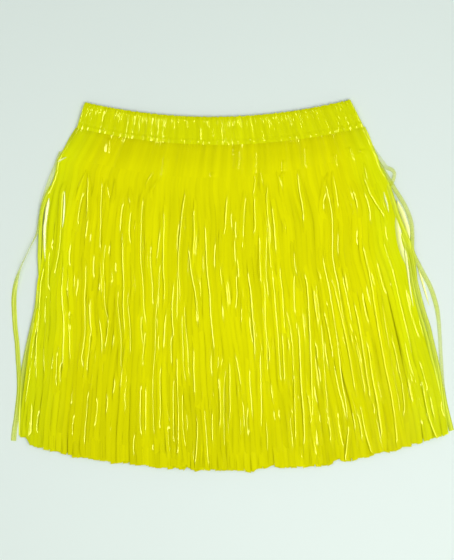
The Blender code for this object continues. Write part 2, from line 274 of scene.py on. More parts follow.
# The same for the creases of the margin, which stop at the slits
MARGIN_CREASES = (
    Crease(0.0830, 0.159, 0.0830, 0.0865, 0.131),
    Crease(0.0262, 0.154, 0.0255, 0.0243, 0.104),
    Crease(0.0014, 0.157, 0.0014, 0.0014, 0.148),
    Crease(0.0071, 0.155, 0.0068, 0.0055, 0.130),
    Crease(-0.0765, 0.147, -0.0780, -0.0808, 0.121),
    Crease(-0.1390, 0.168, -0.1402, -0.1408, 0.148),
    Crease(-0.0240, 0.128, -0.0238, -0.0238, 0.123),
    Crease(0.1150, 0.150, 0.1165, 0.1175, 0.134),
    Crease(0.0575, 0.143, 0.0570, 0.0565, 0.128),
    Crease(0.1320, 0.158, 0.1345, 0.1370, 0.141),
    Crease(0.1430, 0.1540, 0.1480, 0.1520, 0.1460),
)

# Stray strips: points given down each strip, how far the strip is turned on its edge there, the slope
# that its edges roll down to, and how much of what lies under it the film hides
Point = namedtuple("Point", "x y z turn roll cover")
LEFT_OUTER = (
    Point(-0.1940, 0.1515, 0.0034, 0.20, 0.70, 0.60),
    Point(-0.2000, 0.1375, 0.0042, 0.30, 0.90, 0.42),
    Point(-0.2065, 0.1220, 0.0048, 0.35, 1.00, 0.40),
    Point(-0.2115, 0.1080, 0.0052, 0.40, 1.10, 0.42),
    Point(-0.2160, 0.0935, 0.0048, 0.60, 1.20, 0.45),
    Point(-0.2195, 0.0750, 0.0042, 0.90, 1.40, 0.50),
    Point(-0.2220, 0.0605, 0.0036, 1.20, 1.00, 0.50),
    Point(-0.2275, 0.0480, 0.0032, 1.40, 0.50, 0.52),
    Point(-0.2335, 0.0355, 0.0032, 1.40, 0.40, 0.52),
    Point(-0.2400, 0.0220, 0.0030, 1.20, 0.40, 0.55),
    Point(-0.2445, 0.0095, 0.0024, 0.80, 0.45, 0.62),
    Point(-0.2470, -0.0030, 0.0018, 0.40, 0.50, 0.70),
    Point(-0.2480, -0.0170, 0.0014, 0.15, 0.60, 0.74),
    Point(-0.2475, -0.0315, 0.0013, 0.10, 0.70, 0.76),
    Point(-0.2465, -0.0485, 0.0013, 0.10, 0.80, 0.76),
    Point(-0.2445, -0.0655, 0.0013, 0.10, 0.90, 0.76),
    Point(-0.2435, -0.0825, 0.0013, 0.10, 0.90, 0.76),
    Point(-0.2425, -0.0995, 0.0013, 0.10, 1.00, 0.80),
    Point(-0.2420, -0.1170, 0.0013, 0.10, 0.90, 0.85),
    Point(-0.2435, -0.1340, 0.0012, 0.10, 0.80, 0.75),
    Point(-0.2455, -0.1510, 0.0010, 0.10, 0.70, 0.65),
    Point(-0.2475, -0.1645, 0.0008, 0.10, 0.60, 0.60),
    Point(-0.2485, -0.1760, 0.0006, 0.10, 0.50, 0.60),
)
LEFT_EDGE = (
    Point(-0.2040, 0.1125, 0.0026, 0.10, 0.40, 1.00),
    Point(-0.2095, 0.1025, 0.0036, 0.10, 0.70, 1.00),
    Point(-0.2145, 0.0900, 0.0046, 0.10, 1.10, 1.00),
    Point(-0.2165, 0.0785, 0.0050, 0.05, 1.30, 1.00),
    Point(-0.2175, 0.0650, 0.0048, 0.05, 1.30, 1.00),
    Point(-0.2180, 0.0500, 0.0046, 0.05, 1.30, 1.00),
    Point(-0.2185, 0.0345, 0.0044, 0.05, 1.20, 1.00),
    Point(-0.2180, 0.0195, 0.0040, 0.05, 1.10, 1.00),
    Point(-0.2170, 0.0035, 0.0036, 0.05, 0.80, 1.00),
    Point(-0.2165, -0.0170, 0.0032, 0.05, 0.40, 1.00),
    Point(-0.2190, -0.0510, 0.0028, 0.05, 0.20, 1.00),
    Point(-0.2225, -0.0965, 0.0024, 0.05, 0.20, 1.00),
    Point(-0.2260, -0.1360, 0.0020, 0.05, 0.20, 1.00),
    Point(-0.2280, -0.1690, 0.0014, 0.00, 0.10, 1.00),
)
# The glint, shoulder, sheen, glare, spark and gap strips in these tables are painted glare: pale film laid
# where patches of light show at the sides, not strips of the skirt
LEFT_GLINT = (
    Point(-0.2075, 0.0990, 0.0052, 0.28, 0.10, 0.10),
    Point(-0.2085, 0.0925, 0.0054, 0.28, 0.10, 0.80),
    Point(-0.2100, 0.0845, 0.0054, 0.28, 0.10, 0.90),
    Point(-0.2110, 0.0750, 0.0054, 0.28, 0.10, 0.80),
    Point(-0.2125, 0.0650, 0.0054, 0.28, 0.10, 0.90),
    Point(-0.2125, 0.0535, 0.0052, 0.28, 0.10, 0.75),
    Point(-0.2125, 0.0425, 0.0050, 0.28, 0.10, 0.60),
    Point(-0.2115, 0.0320, 0.0048, 0.28, 0.10, 0.40),
    Point(-0.2110, 0.0240, 0.0046, 0.28, 0.10, 0.00),
)
LEFT_SHOULDER_GLARE = (
    Point(-0.1985, 0.1400, 0.0046, 0.00, 0.10, 0.00),
    Point(-0.1960, 0.1410, 0.0052, 0.00, 0.10, 0.90),
    Point(-0.1935, 0.1425, 0.0059, 0.00, 0.10, 1.00),
    Point(-0.1905, 0.1440, 0.0066, 0.00, 0.10, 0.90),
    Point(-0.1870, 0.1455, 0.0072, 0.00, 0.10, 0.00),
)
LEFT_SHEEN = (
    Point(-0.1895, 0.1070, 0.0060, 0.28, 0.10, 0.00),
    Point(-0.1900, 0.1000, 0.0062, 0.28, 0.10, 0.70),
    Point(-0.1900, 0.0925, 0.0062, 0.28, 0.10, 0.90),
    Point(-0.1905, 0.0830, 0.0062, 0.28, 0.10, 0.90),
    Point(-0.1910, 0.0750, 0.0062, 0.28, 0.10, 0.70),
    Point(-0.1920, 0.0660, 0.0062, 0.28, 0.10, 0.00),
)
LEFT_INNER = (
    Point(-0.2190, -0.0055, 0.0044, 0.10, 0.30, 0.90),
    Point(-0.2210, -0.0200, 0.0044, 0.20, 0.60, 0.80),
    Point(-0.2245, -0.0350, 0.0042, 0.30, 0.80, 0.72),
    Point(-0.2285, -0.0510, 0.0038, 0.30, 0.90, 0.68),
    Point(-0.2320, -0.0655, 0.0034, 0.30, 0.95, 0.66),
    Point(-0.2350, -0.0795, 0.0030, 0.30, 1.00, 0.66),
    Point(-0.2375, -0.0930, 0.0026, 0.30, 1.00, 0.66),
    Point(-0.2390, -0.1075, 0.0022, 0.20, 0.90, 0.70),
    Point(-0.2395, -0.1235, 0.0018, 0.10, 0.70, 0.85),
    Point(-0.2400, -0.1395, 0.0015, 0.05, 0.50, 1.00),
    Point(-0.2395, -0.1555, 0.0012, 0.00, 0.30, 1.00),
    Point(-0.2395, -0.1700, 0.0009, 0.00, 0.20, 1.00),
)
LEFT_SECOND = (
    Point(-0.2245, -0.0420, 0.0046, 0.20, 0.50, 0.90),
    Point(-0.2280, -0.0600, 0.0044, 0.27, 0.60, 0.85),
    Point(-0.2310, -0.0780, 0.0040, 0.27, 0.60, 0.85),
    Point(-0.2330, -0.0965, 0.0036, 0.27, 0.60, 0.85),
    Point(-0.2350, -0.1135, 0.0032, 0.27, 0.60, 0.90),
    Point(-0.2365, -0.1305, 0.0028, 0.27, 0.50, 0.95),
    Point(-0.2375, -0.1440, 0.0022, 0.20, 0.40, 1.00),
    Point(-0.2380, -0.1575, 0.0016, 0.10, 0.30, 1.00),
    Point(-0.2385, -0.1700, 0.0010, 0.00, 0.20, 1.00),
)
RIGHT_LOOP = (
    Point(0.1445, 0.1730, 0.0034, 0.00, 0.60, 0.50),
    Point(0.1535, 0.1610, 0.0044, 0.00, 0.80, 0.30),
    Point(0.1625, 0.1500, 0.0048, 0.00, 0.90, 0.26),
    Point(0.1695, 0.1405, 0.0050, 0.10, 1.10, 0.30),
    Point(0.1745, 0.1340, 0.0052, 0.10, 1.20, 0.40),
    Point(0.1780, 0.1325, 0.0054, 0.10, 1.20, 0.50),
    Point(0.1815, 0.1305, 0.0054, 0.10, 1.30, 0.52),
    Point(0.1835, 0.1270, 0.0054, 0.10, 1.40, 0.52),
    Point(0.1830, 0.1225, 0.0052, 0.00, 1.40, 0.52),
    Point(0.1815, 0.1180, 0.0048, 0.00, 1.30, 0.55),
    Point(0.1785, 0.1135, 0.0040, 0.00, 1.20, 0.70),
    Point(0.1740, 0.1075, 0.0030, 0.00, 1.00, 0.90),
    Point(0.1705, 0.1000, 0.0024, 0.00, 0.80, 1.00),
)
RIGHT_OUTER = (
    Point(0.1525, 0.1570, 0.0022, 0.00, 0.30, 0.90),
    Point(0.1600, 0.1470, 0.0026, 0.00, 0.50, 0.80),
    Point(0.1675, 0.1360, 0.0032, 0.00, 0.70, 0.60),
    Point(0.1735, 0.1265, 0.0042, 0.00, 1.00, 0.55),
    Point(0.1795, 0.1170, 0.0048, 0.00, 1.10, 0.60),
    Point(0.1850, 0.1080, 0.0050, 0.00, 1.15, 0.60),
    Point(0.1905, 0.0995, 0.0048, 0.00, 1.15, 0.58),
    Point(0.1955, 0.0910, 0.0046, 0.00, 1.15, 0.56),
    Point(0.2000, 0.0810, 0.0044, 0.00, 1.15, 0.56),
    Point(0.2030, 0.0710, 0.0042, 0.00, 1.15, 0.56),
    Point(0.2040, 0.0605, 0.0044, 0.00, 1.20, 0.60),
    Point(0.2040, 0.0500, 0.0048, 0.00, 1.20, 0.70),
    Point(0.2040, 0.0400, 0.0048, 0.00, 1.10, 0.85),
    Point(0.2075, 0.0310, 0.0044, 0.00, 1.00, 0.72),
    Point(0.2125, 0.0215, 0.0038, 0.00, 1.00, 0.58),
    Point(0.2185, 0.0105, 0.0032, 0.00, 1.00, 0.56),
    Point(0.2245, -0.0010, 0.0028, 0.00, 1.00, 0.56),
    Point(0.2290, -0.0135, 0.0024, 0.00, 1.00, 0.56),
    Point(0.2325, -0.0270, 0.0022, 0.00, 1.10, 0.55),
    Point(0.2345, -0.0420, 0.0020, 0.00, 1.30, 0.46),
    Point(0.2355, -0.0565, 0.0019, 0.00, 1.40, 0.38),
    Point(0.2365, -0.0735, 0.0019, 0.00, 1.40, 0.38),
    Point(0.2375, -0.0920, 0.0019, 0.00, 1.40, 0.46),
    Point(0.2385, -0.1100, 0.0019, 0.00, 1.30, 0.55),
    Point(0.2405, -0.1270, 0.0017, 0.00, 1.00, 0.85),
    Point(0.2430, -0.1405, 0.0014, 0.00, 0.80, 0.90),
    Point(0.2460, -0.1530, 0.0012, 0.00, 0.70, 0.90),
    Point(0.2490, -0.1645, 0.0010, 0.00, 0.70, 0.85),
)
RIGHT_SECOND = (
    Point(0.1935, 0.0580, 0.0044, 0.00, 0.80, 1.00),
    Point(0.1990, 0.0455, 0.0048, 0.00, 1.00, 0.95),
    Point(0.2035, 0.0345, 0.0046, 0.00, 1.00, 0.85),
    Point(0.2060, 0.0205, 0.0042, 0.00, 1.00, 0.78),
    Point(0.2080, 0.0050, 0.0038, 0.00, 1.00, 0.78),
    Point(0.2125, -0.0125, 0.0034, 0.00, 1.00, 0.78),
    Point(0.2170, -0.0295, 0.0032, 0.00, 1.00, 0.78),
    Point(0.2225, -0.0465, 0.0030, 0.00, 1.00, 0.78),
    Point(0.2265, -0.0635, 0.0030, 0.00, 1.00, 0.80),
    Point(0.2305, -0.0805, 0.0030, 0.00, 1.00, 0.82),
    Point(0.2340, -0.0975, 0.0028, 0.00, 1.00, 0.85),
    Point(0.2365, -0.1145, 0.0026, 0.00, 1.00, 0.90),
    Point(0.2385, -0.1325, 0.0022, 0.00, 0.90, 0.95),
    Point(0.2405, -0.1510, 0.0016, 0.00, 0.60, 1.00),
    Point(0.2425, -0.1690, 0.0010, 0.00, 0.30, 1.00),
)
RIGHT_THIRD = (
    Point(0.1900, 0.0605, 0.0040, 0.00, 0.60, 1.00),
    Point(0.1955, 0.0435, 0.0046, 0.00, 1.00, 0.90),
    Point(0.2000, 0.0275, 0.0044, 0.00, 1.10, 0.85),
    Point(0.2030, 0.0105, 0.0042, 0.00, 1.10, 0.82),
    Point(0.2060, -0.0065, 0.0040, 0.00, 1.10, 0.82),
    Point(0.2100, -0.0235, 0.0038, 0.00, 1.10, 0.84),
    Point(0.2150, -0.0405, 0.0036, 0.00, 1.00, 0.86),
    Point(0.2205, -0.0600, 0.0034, 0.00, 0.90, 0.90),
    Point(0.2250, -0.0805, 0.0032, 0.00, 0.80, 0.92),
    Point(0.2305, -0.1020, 0.0030, 0.00, 0.70, 0.95),
    Point(0.2350, -0.1260, 0.0026, 0.00, 0.50, 1.00),
    Point(0.2375, -0.1530, 0.0018, 0.00, 0.30, 1.00),
    Point(0.2390, -0.1690, 0.0010, 0.00, 0.20, 1.00),
)
RIGHT_GLINT = (
    Point(0.1950, 0.0425, 0.0050, -0.20, 0.10, 0.00),
    Point(0.1965, 0.0345, 0.0052, -0.20, 0.10, 0.80),
    Point(0.1975, 0.0250, 0.0052, -0.20, 0.10, 0.90),
    Point(0.1990, 0.0150, 0.0050, -0.20, 0.10, 0.80),
    Point(0.2005, 0.0025, 0.0048, -0.20, 0.10, 0.60),
    Point(0.2025, -0.0100, 0.0046, -0.20, 0.10, 0.40),
    Point(0.2050, -0.0235, 0.0042, -0.20, 0.10, 0.00),
)
RIGHT_GLARE = (
    Point(0.1870, 0.0970, 0.0030, -0.20, 0.10, 0.00),
    Point(0.1890, 0.0900, 0.0032, -0.20, 0.10, 0.85),
    Point(0.1925, 0.0825, 0.0032, -0.20, 0.10, 1.00),
    Point(0.1950, 0.0750, 0.0032, -0.20, 0.10, 1.00),
    Point(0.1975, 0.0680, 0.0032, -0.20, 0.10, 1.00),
    Point(0.1990, 0.0615, 0.0032, -0.20, 0.10, 0.90),
    Point(0.2010, 0.0535, 0.0030, -0.20, 0.10, 0.00),
)
RIGHT_SPARK = (
    Point(0.1715, 0.1060, 0.0054, -0.20, 0.10, 0.00),
    Point(0.1730, 0.0990, 0.0056, -0.20, 0.10, 0.80),
    Point(0.1750, 0.0925, 0.0056, -0.20, 0.10, 0.80),
    Point(0.1770, 0.0830, 0.0054, -0.20, 0.10, 0.00),
)
# Painted glare over the floor between two stray strips
RIGHT_GAP_GLARE = (
    Point(0.2105, 0.0240, 0.0016, -0.20, 0.10, 0.00),
    Point(0.2125, 0.0160, 0.0016, -0.20, 0.10, 0.50),
    Point(0.2150, 0.0070, 0.0016, -0.20, 0.10, 0.60),
    Point(0.2175, -0.0020, 0.0016, -0.20, 0.10, 0.50),
    Point(0.2205, -0.0125, 0.0016, -0.20, 0.10, 0.30),
    Point(0.2235, -0.0225, 0.0014, -0.20, 0.10, 0.00),
)
RIGHT_SHEEN = (
    Point(0.1855, 0.0810, 0.0044, -0.20, 0.10, 0.00),
    Point(0.1870, 0.0705, 0.0046, -0.20, 0.10, 0.80),
    Point(0.1885, 0.0605, 0.0046, -0.20, 0.10, 1.00),
    Point(0.1900, 0.0500, 0.0046, -0.20, 0.10, 1.00),
    Point(0.1920, 0.0410, 0.0046, -0.20, 0.10, 0.90),
    Point(0.1945, 0.0320, 0.0044, -0.20, 0.10, 0.60),
    Point(0.1970, 0.0230, 0.0044, -0.20, 0.10, 0.00),
)
RIGHT_CROSSING = (
    Point(0.1685, 0.1330, 0.0030, -0.10, 0.60, 1.00),
    Point(0.1730, 0.1230, 0.0036, -0.10, 0.60, 1.00),
    Point(0.1770, 0.1120, 0.0044, -0.10, 0.60, 1.00),
    Point(0.1805, 0.1020, 0.0052, -0.12, 0.60, 1.00),
    Point(0.1835, 0.0925, 0.0056, -0.12, 0.60, 1.00),
    Point(0.1865, 0.0820, 0.0056, -0.12, 0.60, 1.00),
    Point(0.1905, 0.0720, 0.0054, -0.12, 0.60, 1.00),
    Point(0.1950, 0.0615, 0.0052, -0.10, 0.60, 1.00),
    Point(0.1985, 0.0525, 0.0050, 0.00, 0.60, 1.00),
    Point(0.2015, 0.0435, 0.0046, 0.00, 0.60, 1.00),
    Point(0.2040, 0.0320, 0.0040, 0.00, 0.70, 1.00),
    Point(0.2060, 0.0195, 0.0032, 0.00, 0.90, 1.00),
    Point(0.2075, 0.0060, 0.0026, 0.00, 0.90, 1.00),
)

# Strips that lie apart from the pile, each with its width
Stray = namedtuple("Stray", "points width")
SINGLE_STRIPS = (
    Stray(LEFT_OUTER, 0.0065),
    Stray(LEFT_INNER, 0.0062),
    Stray(LEFT_SECOND, 0.0050),
    Stray(RIGHT_LOOP, 0.0062),
    Stray(RIGHT_OUTER, 0.0065),
    Stray(RIGHT_SECOND, 0.0065),
    Stray(RIGHT_THIRD, 0.0060),
)
# Pale strips that stand for the light patches that the photo shows at both sides
GLINT_STRIPS = (
    Stray(LEFT_GLINT, 0.0054),
    Stray(LEFT_SHEEN, 0.0030),
    Stray(LEFT_SHOULDER_GLARE, 0.0020),
    Stray(RIGHT_GLARE, 0.0072),
    Stray(RIGHT_SHEEN, 0.0080),
    Stray(RIGHT_SPARK, 0.0030),
    Stray(RIGHT_GLINT, 0.0034),
    Stray(RIGHT_GAP_GLARE, 0.0048),
)
# Strips that lie along the pile's edge or across it
EDGE_STRIPS = (Stray(LEFT_EDGE, 0.0065), Stray(RIGHT_CROSSING, 0.0056))

# Softboxes: where each stands, its size, its radiance beside white paper in the scene's light, and
# whether it lights matt surfaces, glossy ones or both
Softbox = namedtuple("Softbox", "name x y z width length radiance matt glossy")
SOFTBOXES = (
    Softbox("softbox_left", -0.65, 0.0, 1.30, 0.50, 1.20, 2.15, True, False),
    Softbox("softbox_right", 0.65, 0.0, 1.30, 0.50, 1.20, 2.25, True, False),
    Softbox("strip_light_left", -0.95, 0.0, 0.95, 0.22, 1.30, 12.0, False, True),
    Softbox("strip_light_right", 0.95, 0.0, 0.95, 0.22, 1.30, 12.0, False, True),
    Softbox("softbox_over", 0.62, -0.62, 1.30, 0.90, 0.90, 3.20, True, False),
)


class SkirtSizes(bpy.types.PropertyGroup):
    """Sizes of the film and its gathers."""

    film: FloatProperty(
        name="Film thickness", description="Thickness of the modelled film", default=0.00012,
        unit="LENGTH", precision=5,
    )
    strip: FloatProperty(
        name="Strip width", description="Width that the fringe is cut to", default=0.0065,
        unit="LENGTH", precision=4,
    )
    gathers: IntProperty(
        name="Gathers", description="Gathers across the front of the band", default=60,
    )
    slit_reach: FloatProperty(
        name="Slit reach", description="How unevenly far up the slits are cut", default=0.034,
        unit="LENGTH", precision=3,
    )
    hem_jag: FloatProperty(
        name="Hem jag", description="How unevenly long the strips are", default=0.0030,
        unit="LENGTH", precision=4,
    )


class SkirtColours(bpy.types.PropertyGroup):
    """Colours of the film and the floor."""

    deep: FloatVectorProperty(
        name="Deep film", description="Film over many layers", default=(0.868, 0.848, 0.0008),
        subtype="COLOR", min=0.0, max=1.0,
    )
    side: FloatVectorProperty(
        name="Side film", description="Film at the sides, with few layers under it",
        default=(0.82, 0.89, 0.0025), subtype="COLOR", min=0.0, max=1.0,
    )
    stray: FloatVectorProperty(
        name="Single film", description="A strip that lies by itself", default=(0.78, 0.89, 0.020),
        subtype="COLOR", min=0.0, max=1.0,
    )
    edge: FloatVectorProperty(
        name="Edge film", description="The outermost strips of the pile", default=(0.70, 0.80, 0.006),
        subtype="COLOR", min=0.0, max=1.0,
    )
    # Painted glare: the colour of the pale strips laid where patches of light show at the sides
    pale: FloatVectorProperty(
        name="Pale film", description="Film at the sides that the light shines through",
        default=(0.89, 0.94, 0.27), subtype="COLOR", min=0.0, max=1.0,
    )
    floor: FloatVectorProperty(
        name="Floor", description="Pale surface under the skirt", default=(0.80, 0.885, 0.835),
        subtype="COLOR", min=0.0, max=1.0,
    )


def page_shift():
    """How far the frame's page lies from the tables': the band's left and top corners are compared."""
    low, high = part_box("waistband_front")
    return np.array([low.x - BAND_SEAM.left, high.y - BAND_TOP.up_right, 0.0])


def smooth_step(value):
    """0 up to 0, 1 from 1 on, and 3v^2 - 2v^3 between."""
    share = np.clip(value, 0.0, 1.0)
    return share * share * (3 - 2 * share)


def through(stations, values, at):
    """A cubic through a table's points. Its slope at each point follows the points beside it."""
    stations = np.asarray(stations, float)
    values = np.asarray(values, float)
    slopes = np.gradient(values, stations)
    span = np.clip(np.searchsorted(stations, at, side="right") - 1, 0, len(stations) - 2)
    length = stations[span + 1] - stations[span]
    share = (at - stations[span]) / length
    blend = smooth_step(share)
    return (
        values[span] * (1 - blend)
        + values[span + 1] * blend
        + slopes[span] * length * share * (1 - share) ** 2
        - slopes[span + 1] * length * share ** 2 * (1 - share)
    )


def rippled(random, count, at, waves, least=0.6, most=4.0):
    """Smooth uneven curves, one row for each strip: a sum of sines of random length, height and start.

    Each row's values have a spread of about 1.
    """
    turns = random.uniform(least, most, (count, waves, 1))
    starts = random.uniform(0.0, 2 * math.pi, (count, waves, 1))
    heights = random.uniform(0.4, 1.0, (count, waves, 1))
    sums = (heights * np.sin(2 * math.pi * turns * at[None, None, :] + starts)).sum(axis=1)
    return sums / math.sqrt(waves * 0.27)


def height_on_page(level, across):
    """A parabola through the level's left, middle and right heights."""
    return (
        level.up_left * (1 - across) * (1 - 2 * across)
        + level.up_middle * 4 * across * (1 - across)
        + level.up_right * across * (2 * across - 1)
    )


def level_x(level, across):
    return level.left + (level.right - level.left) * across


def margin_place(across, down):
    """x and y between the band's seam (down 0) and the slit line (down 1), on straight lines."""
    x = level_x(BAND_SEAM, across) * (1 - down) + level_x(SLIT_LINE, across) * down
    y = height_on_page(BAND_SEAM, across) * (1 - down) + height_on_page(SLIT_LINE, across) * down
    return x, y


def strip_ends(across):
    """How far the strips' ends stand above the hem's curve, on straight lines through the table."""
    return np.interp(across, [end.across for end in STRIP_ENDS], [end.rise for end in STRIP_ENDS])


def fringe_place(across, down, short=0.0):
    """x and y between the slit line (down 0) and the hem (down 1), between the sides of the pile.

    Each place's hem follows the table of ends, short says how much shorter a strip is than that. Above
    the slit line, the sides are the margin's.
    """
    downs = [side.down for side in SIDES]
    above = 7.5 * np.minimum(down, 0.0)
    inside = np.maximum(down, 0.0)
    left = through(downs, [side.left for side in SIDES], inside)
    right = through(downs, [side.right for side in SIDES], inside)
    left = left + (SLIT_LINE.left - BAND_SEAM.left) * above
    right = right + (SLIT_LINE.right - BAND_SEAM.right) * above
    upper = height_on_page(SLIT_LINE, across)
    lower = height_on_page(HEM, across) + strip_ends(across) + short
    return left + (right - left) * across, upper + (lower - upper) * down


def side_round(across, reach=0.03):
    """1 over most of the width, falling to 0 at the folded sides like a quarter circle."""
    edge = np.clip(np.minimum(across, 1 - across) / reach, 0.0, 1.0)
    return np.sqrt(1 - (1 - edge) ** 2)


def pile_depth(across):
    """How many layers lie under the film: 1 in the middle, 0 at the sides."""
    return smooth_step(np.minimum(across, 1 - across) / 0.13)


def gather_wave(across, count, sway):
    """Narrow crests and wide troughs from 0 to 1, count of them, pushed sideways by sway."""
    phase = np.abs(np.sin(math.pi * (across * count + sway)))
    return 1 - phase ** 0.8


def uneven_line(at, seed, waves, least, most):
    """One smooth uneven curve with a spread of about 1."""
    flat = np.asarray(at, float).ravel()
    return rippled(np.random.default_rng(seed), 1, flat, waves, least, most)[0].reshape(np.shape(at))


# Share of the margin where its tube ends and the strips' own film begins, and the same place on the strips
MARGIN_END = 0.80
JOIN_TOP = -0.032
MARGIN_LIFT = 0.0046

# How high the lowest film lies above the floor
LOWEST_FILM = 0.0002

# Sizes that the film's streaks are laid out by: the band's and the margin's width, the margin's height,
# and how far a strip's streaks are shifted from its neighbour's
BAND_WIDE = 0.31
MARGIN_WIDE = 0.36
MARGIN_LONG = 0.0465
STREAK_SHIFT = 0.037


def margin_spot(x, y):
    """Share and down of a place on the margin: margin_place solved by a few rounds of repeated guesses."""
    across = np.full(np.shape(x), 0.5)
    for _ in range(6):
        upper, lower = height_on_page(BAND_SEAM, across), height_on_page(SLIT_LINE, across)
        down = (upper - y) / (upper - lower)
        left = BAND_SEAM.left * (1 - down) + SLIT_LINE.left * down
        right = BAND_SEAM.right * (1 - down) + SLIT_LINE.right * down
        across = (x - left) / (right - left)
    return across, down


def fringe_spot(x, y):
    """Share and down of a place on the fringe, found in the same way."""
    across = np.full(np.shape(x), 0.5)
    downs = [side.down for side in SIDES]
    for _ in range(6):
        upper, lower = height_on_page(SLIT_LINE, across), height_on_page(HEM, across)
        down = (upper - y) / (upper - lower)
        left = through(downs, [side.left for side in SIDES], np.clip(down, 0, 1))
        right = through(downs, [side.right for side in SIDES], np.clip(down, 0, 1))
        across = (x - left) / (right - left)
    return across, down


def crease_lines(table, spot):
    """Each crease's shares at its top, middle and bottom, and its downs at its top and bottom."""
    rows = np.array(table)
    top, down_top = spot(rows[:, 0], rows[:, 1])
    middle, _ = spot(rows[:, 2], (rows[:, 1] + rows[:, 4]) / 2)
    bottom, down_bottom = spot(rows[:, 3], rows[:, 4])
    return top, middle, bottom, down_top, down_bottom


def along_crease(lines, down):
    """How far along each crease a place is, 0 to 1, and the crease's share there: a parabola through its
    three known shares. lines are columns that broadcast against down."""
    top, middle, bottom, down_top, down_bottom = lines
    part = np.clip((down - down_top) / (down_bottom - down_top), 0.0, 1.0)
    share = (top * (1 - part) * (1 - 2 * part) + middle * 4 * part * (1 - part)
             + bottom * part * (2 * part - 1))
    return part, share


def margin_height(across, down):
    """Height of the front margin's film over the floor.

    Broad folds of uneven width fan down from the seam, the band's own gathers run a little way into them
    and die out, and the margin's creases are narrow ridges with the section of a bell, steep on one side.
    """
    sway = 0.9 * uneven_line(across, 31, 4, 2.0, 9.0)
    broad = 0.5 * uneven_line(across + 0.006 * down, 32, 7, 9.0, 26.0)
    narrow = 0.35 * uneven_line(across - 0.004 * down, 33, 7, 30.0, 60.0)
    folds = 0.0005 * broad * (1.0 - 0.45 * down) + 0.00018 * narrow * (1.0 - 0.6 * down)
    gathers = 0.0003 * gather_wave(across, 60, sway) * np.exp(-np.maximum(down, 0) / 0.12)
    ridges = np.zeros(np.shape(across))
    width = SLIT_LINE.right - SLIT_LINE.left
    for number, lines in enumerate(zip(*crease_lines(MARGIN_CREASES, margin_spot))):
        part, share = along_crease(lines, down)
        reach = np.minimum(part, 1 - part)
        away = (across - share) * width / 0.0012 * (-1) ** number
        away = np.where(away > 0, away / 4.0, away)
        ridges = ridges + 0.0011 * smooth_step(reach / 0.22) * np.exp(-away ** 2)
    return (MARGIN_LIFT + folds + gathers + ridges) * (0.45 + 0.55 * side_round(across, 0.010))


class Film:
    """Film points on grids, with what its material reads at each point."""

    def __init__(self, points, along, across, tone, pile, cover=1.0, crinkle=0.0, wraps=False):
        self.points = points
        shape = points.shape[:3]
        self.cover = np.broadcast_to(cover, shape)
        self.crinkle = np.broadcast_to(crinkle, shape)
        self.along = np.broadcast_to(along, shape)
        self.across = np.broadcast_to(across, shape)
        self.tone = np.broadcast_to(tone, shape)
        self.pile = np.broadcast_to(pile, shape)
        self.wraps = wraps


def film_normals(points, wraps):
    """The cross product of the steps down and across the grid, made one long."""
    if wraps:
        padded = np.concatenate([points[:, :, -1:], points, points[:, :, :1]], axis=2)
        step_across = (padded[:, :, 2:] - padded[:, :, :-2]) / 2
    else:
        step_across = np.gradient(points, axis=2)
    step_down = np.gradient(points, axis=1)
    normals = np.cross(step_down, step_across)
    return normals / np.maximum(np.linalg.norm(normals, axis=3, keepdims=True), 1e-12)


def grid_faces(strips, rings, columns, wraps):
    """Corner numbers of the closed thin walls: tops, undersides and the rims round them, and how many of
    them are smooth. Vertex ((strip * 2 + side) * rings + ring) * columns + column has side 0 on top."""
    strip = np.arange(strips)[:, None, None]
    ring = np.arange(rings - 1)[None, :, None]
    column = np.arange(columns if wraps else columns - 1)[None, None, :]
    beside = (column + 1) % columns

    def corner(side, at_ring, at_column):
        number = ((strip * 2 + side) * rings + at_ring) * columns + at_column
        return np.broadcast_to(number, np.broadcast_shapes(number.shape)).astype(np.int64)

    def quads(*corners):
        shape = np.broadcast_shapes(*(one.shape for one in corners))
        return np.stack([np.broadcast_to(one, shape) for one in corners], axis=-1).reshape(-1, 4)

    tops = quads(corner(0, ring, column), corner(0, ring + 1, column),
                 corner(0, ring + 1, beside), corner(0, ring, beside))
    undersides = quads(corner(1, ring, column), corner(1, ring, beside),
                       corner(1, ring + 1, beside), corner(1, ring + 1, column))
    end = rings - 1
    rims = [
        quads(corner(0, 0, column), corner(0, 0, beside), corner(1, 0, beside), corner(1, 0, column)),
        quads(corner(0, end, beside), corner(0, end, column), corner(1, end, column),
              corner(1, end, beside)),
    ]
    if not wraps:
        last = columns - 1
        rims.append(quads(corner(0, ring + 1, 0), corner(0, ring, 0), corner(1, ring, 0),
                          corner(1, ring + 1, 0)))
        rims.append(quads(corner(0, ring, last), corner(0, ring + 1, last), corner(1, ring + 1, last),
                          corner(1, ring, last)))
    smooth = len(tops) + len(undersides)
    return np.concatenate([tops, undersides, *rims]), smooth


def film_piece(name, films, material, thickness):
    """A mesh of closed thin walls: each film's points moved out and in by half the thickness."""
    places, faces, smooths, uvs = [], [], [], []
    # The tone attribute carries random lightness and painted shade
    read = {"strip_tone": [], "pile_depth": [], "film_cover": [], "film_crinkle": []}
    first = 0
    for film in films:
        strips, rings, columns = film.points.shape[:3]
        out = film_normals(film.points, film.wraps) * thickness / 2
        both = np.stack([film.points + out, film.points - out], axis=1)
        numbers, smooth = grid_faces(strips, rings, columns, film.wraps)
        places.append(both.reshape(-1, 3))
        faces.append(numbers + first)
        smooths.append(np.arange(len(numbers)) < smooth)
        double = np.stack([np.stack([film.across, film.along], axis=-1)] * 2, axis=1)
        uvs.append(double.reshape(-1, 2))
        for key, values in zip(read, (film.tone, film.pile, film.cover, film.crinkle)):
            read[key].append(np.stack([values] * 2, axis=1).ravel())
        first += strips * 2 * rings * columns
    return mesh_piece(
        name, np.concatenate(places), np.concatenate(faces), np.concatenate(smooths), material,
        np.concatenate(uvs), {key: np.concatenate(values) for key, values in read.items()},
    )


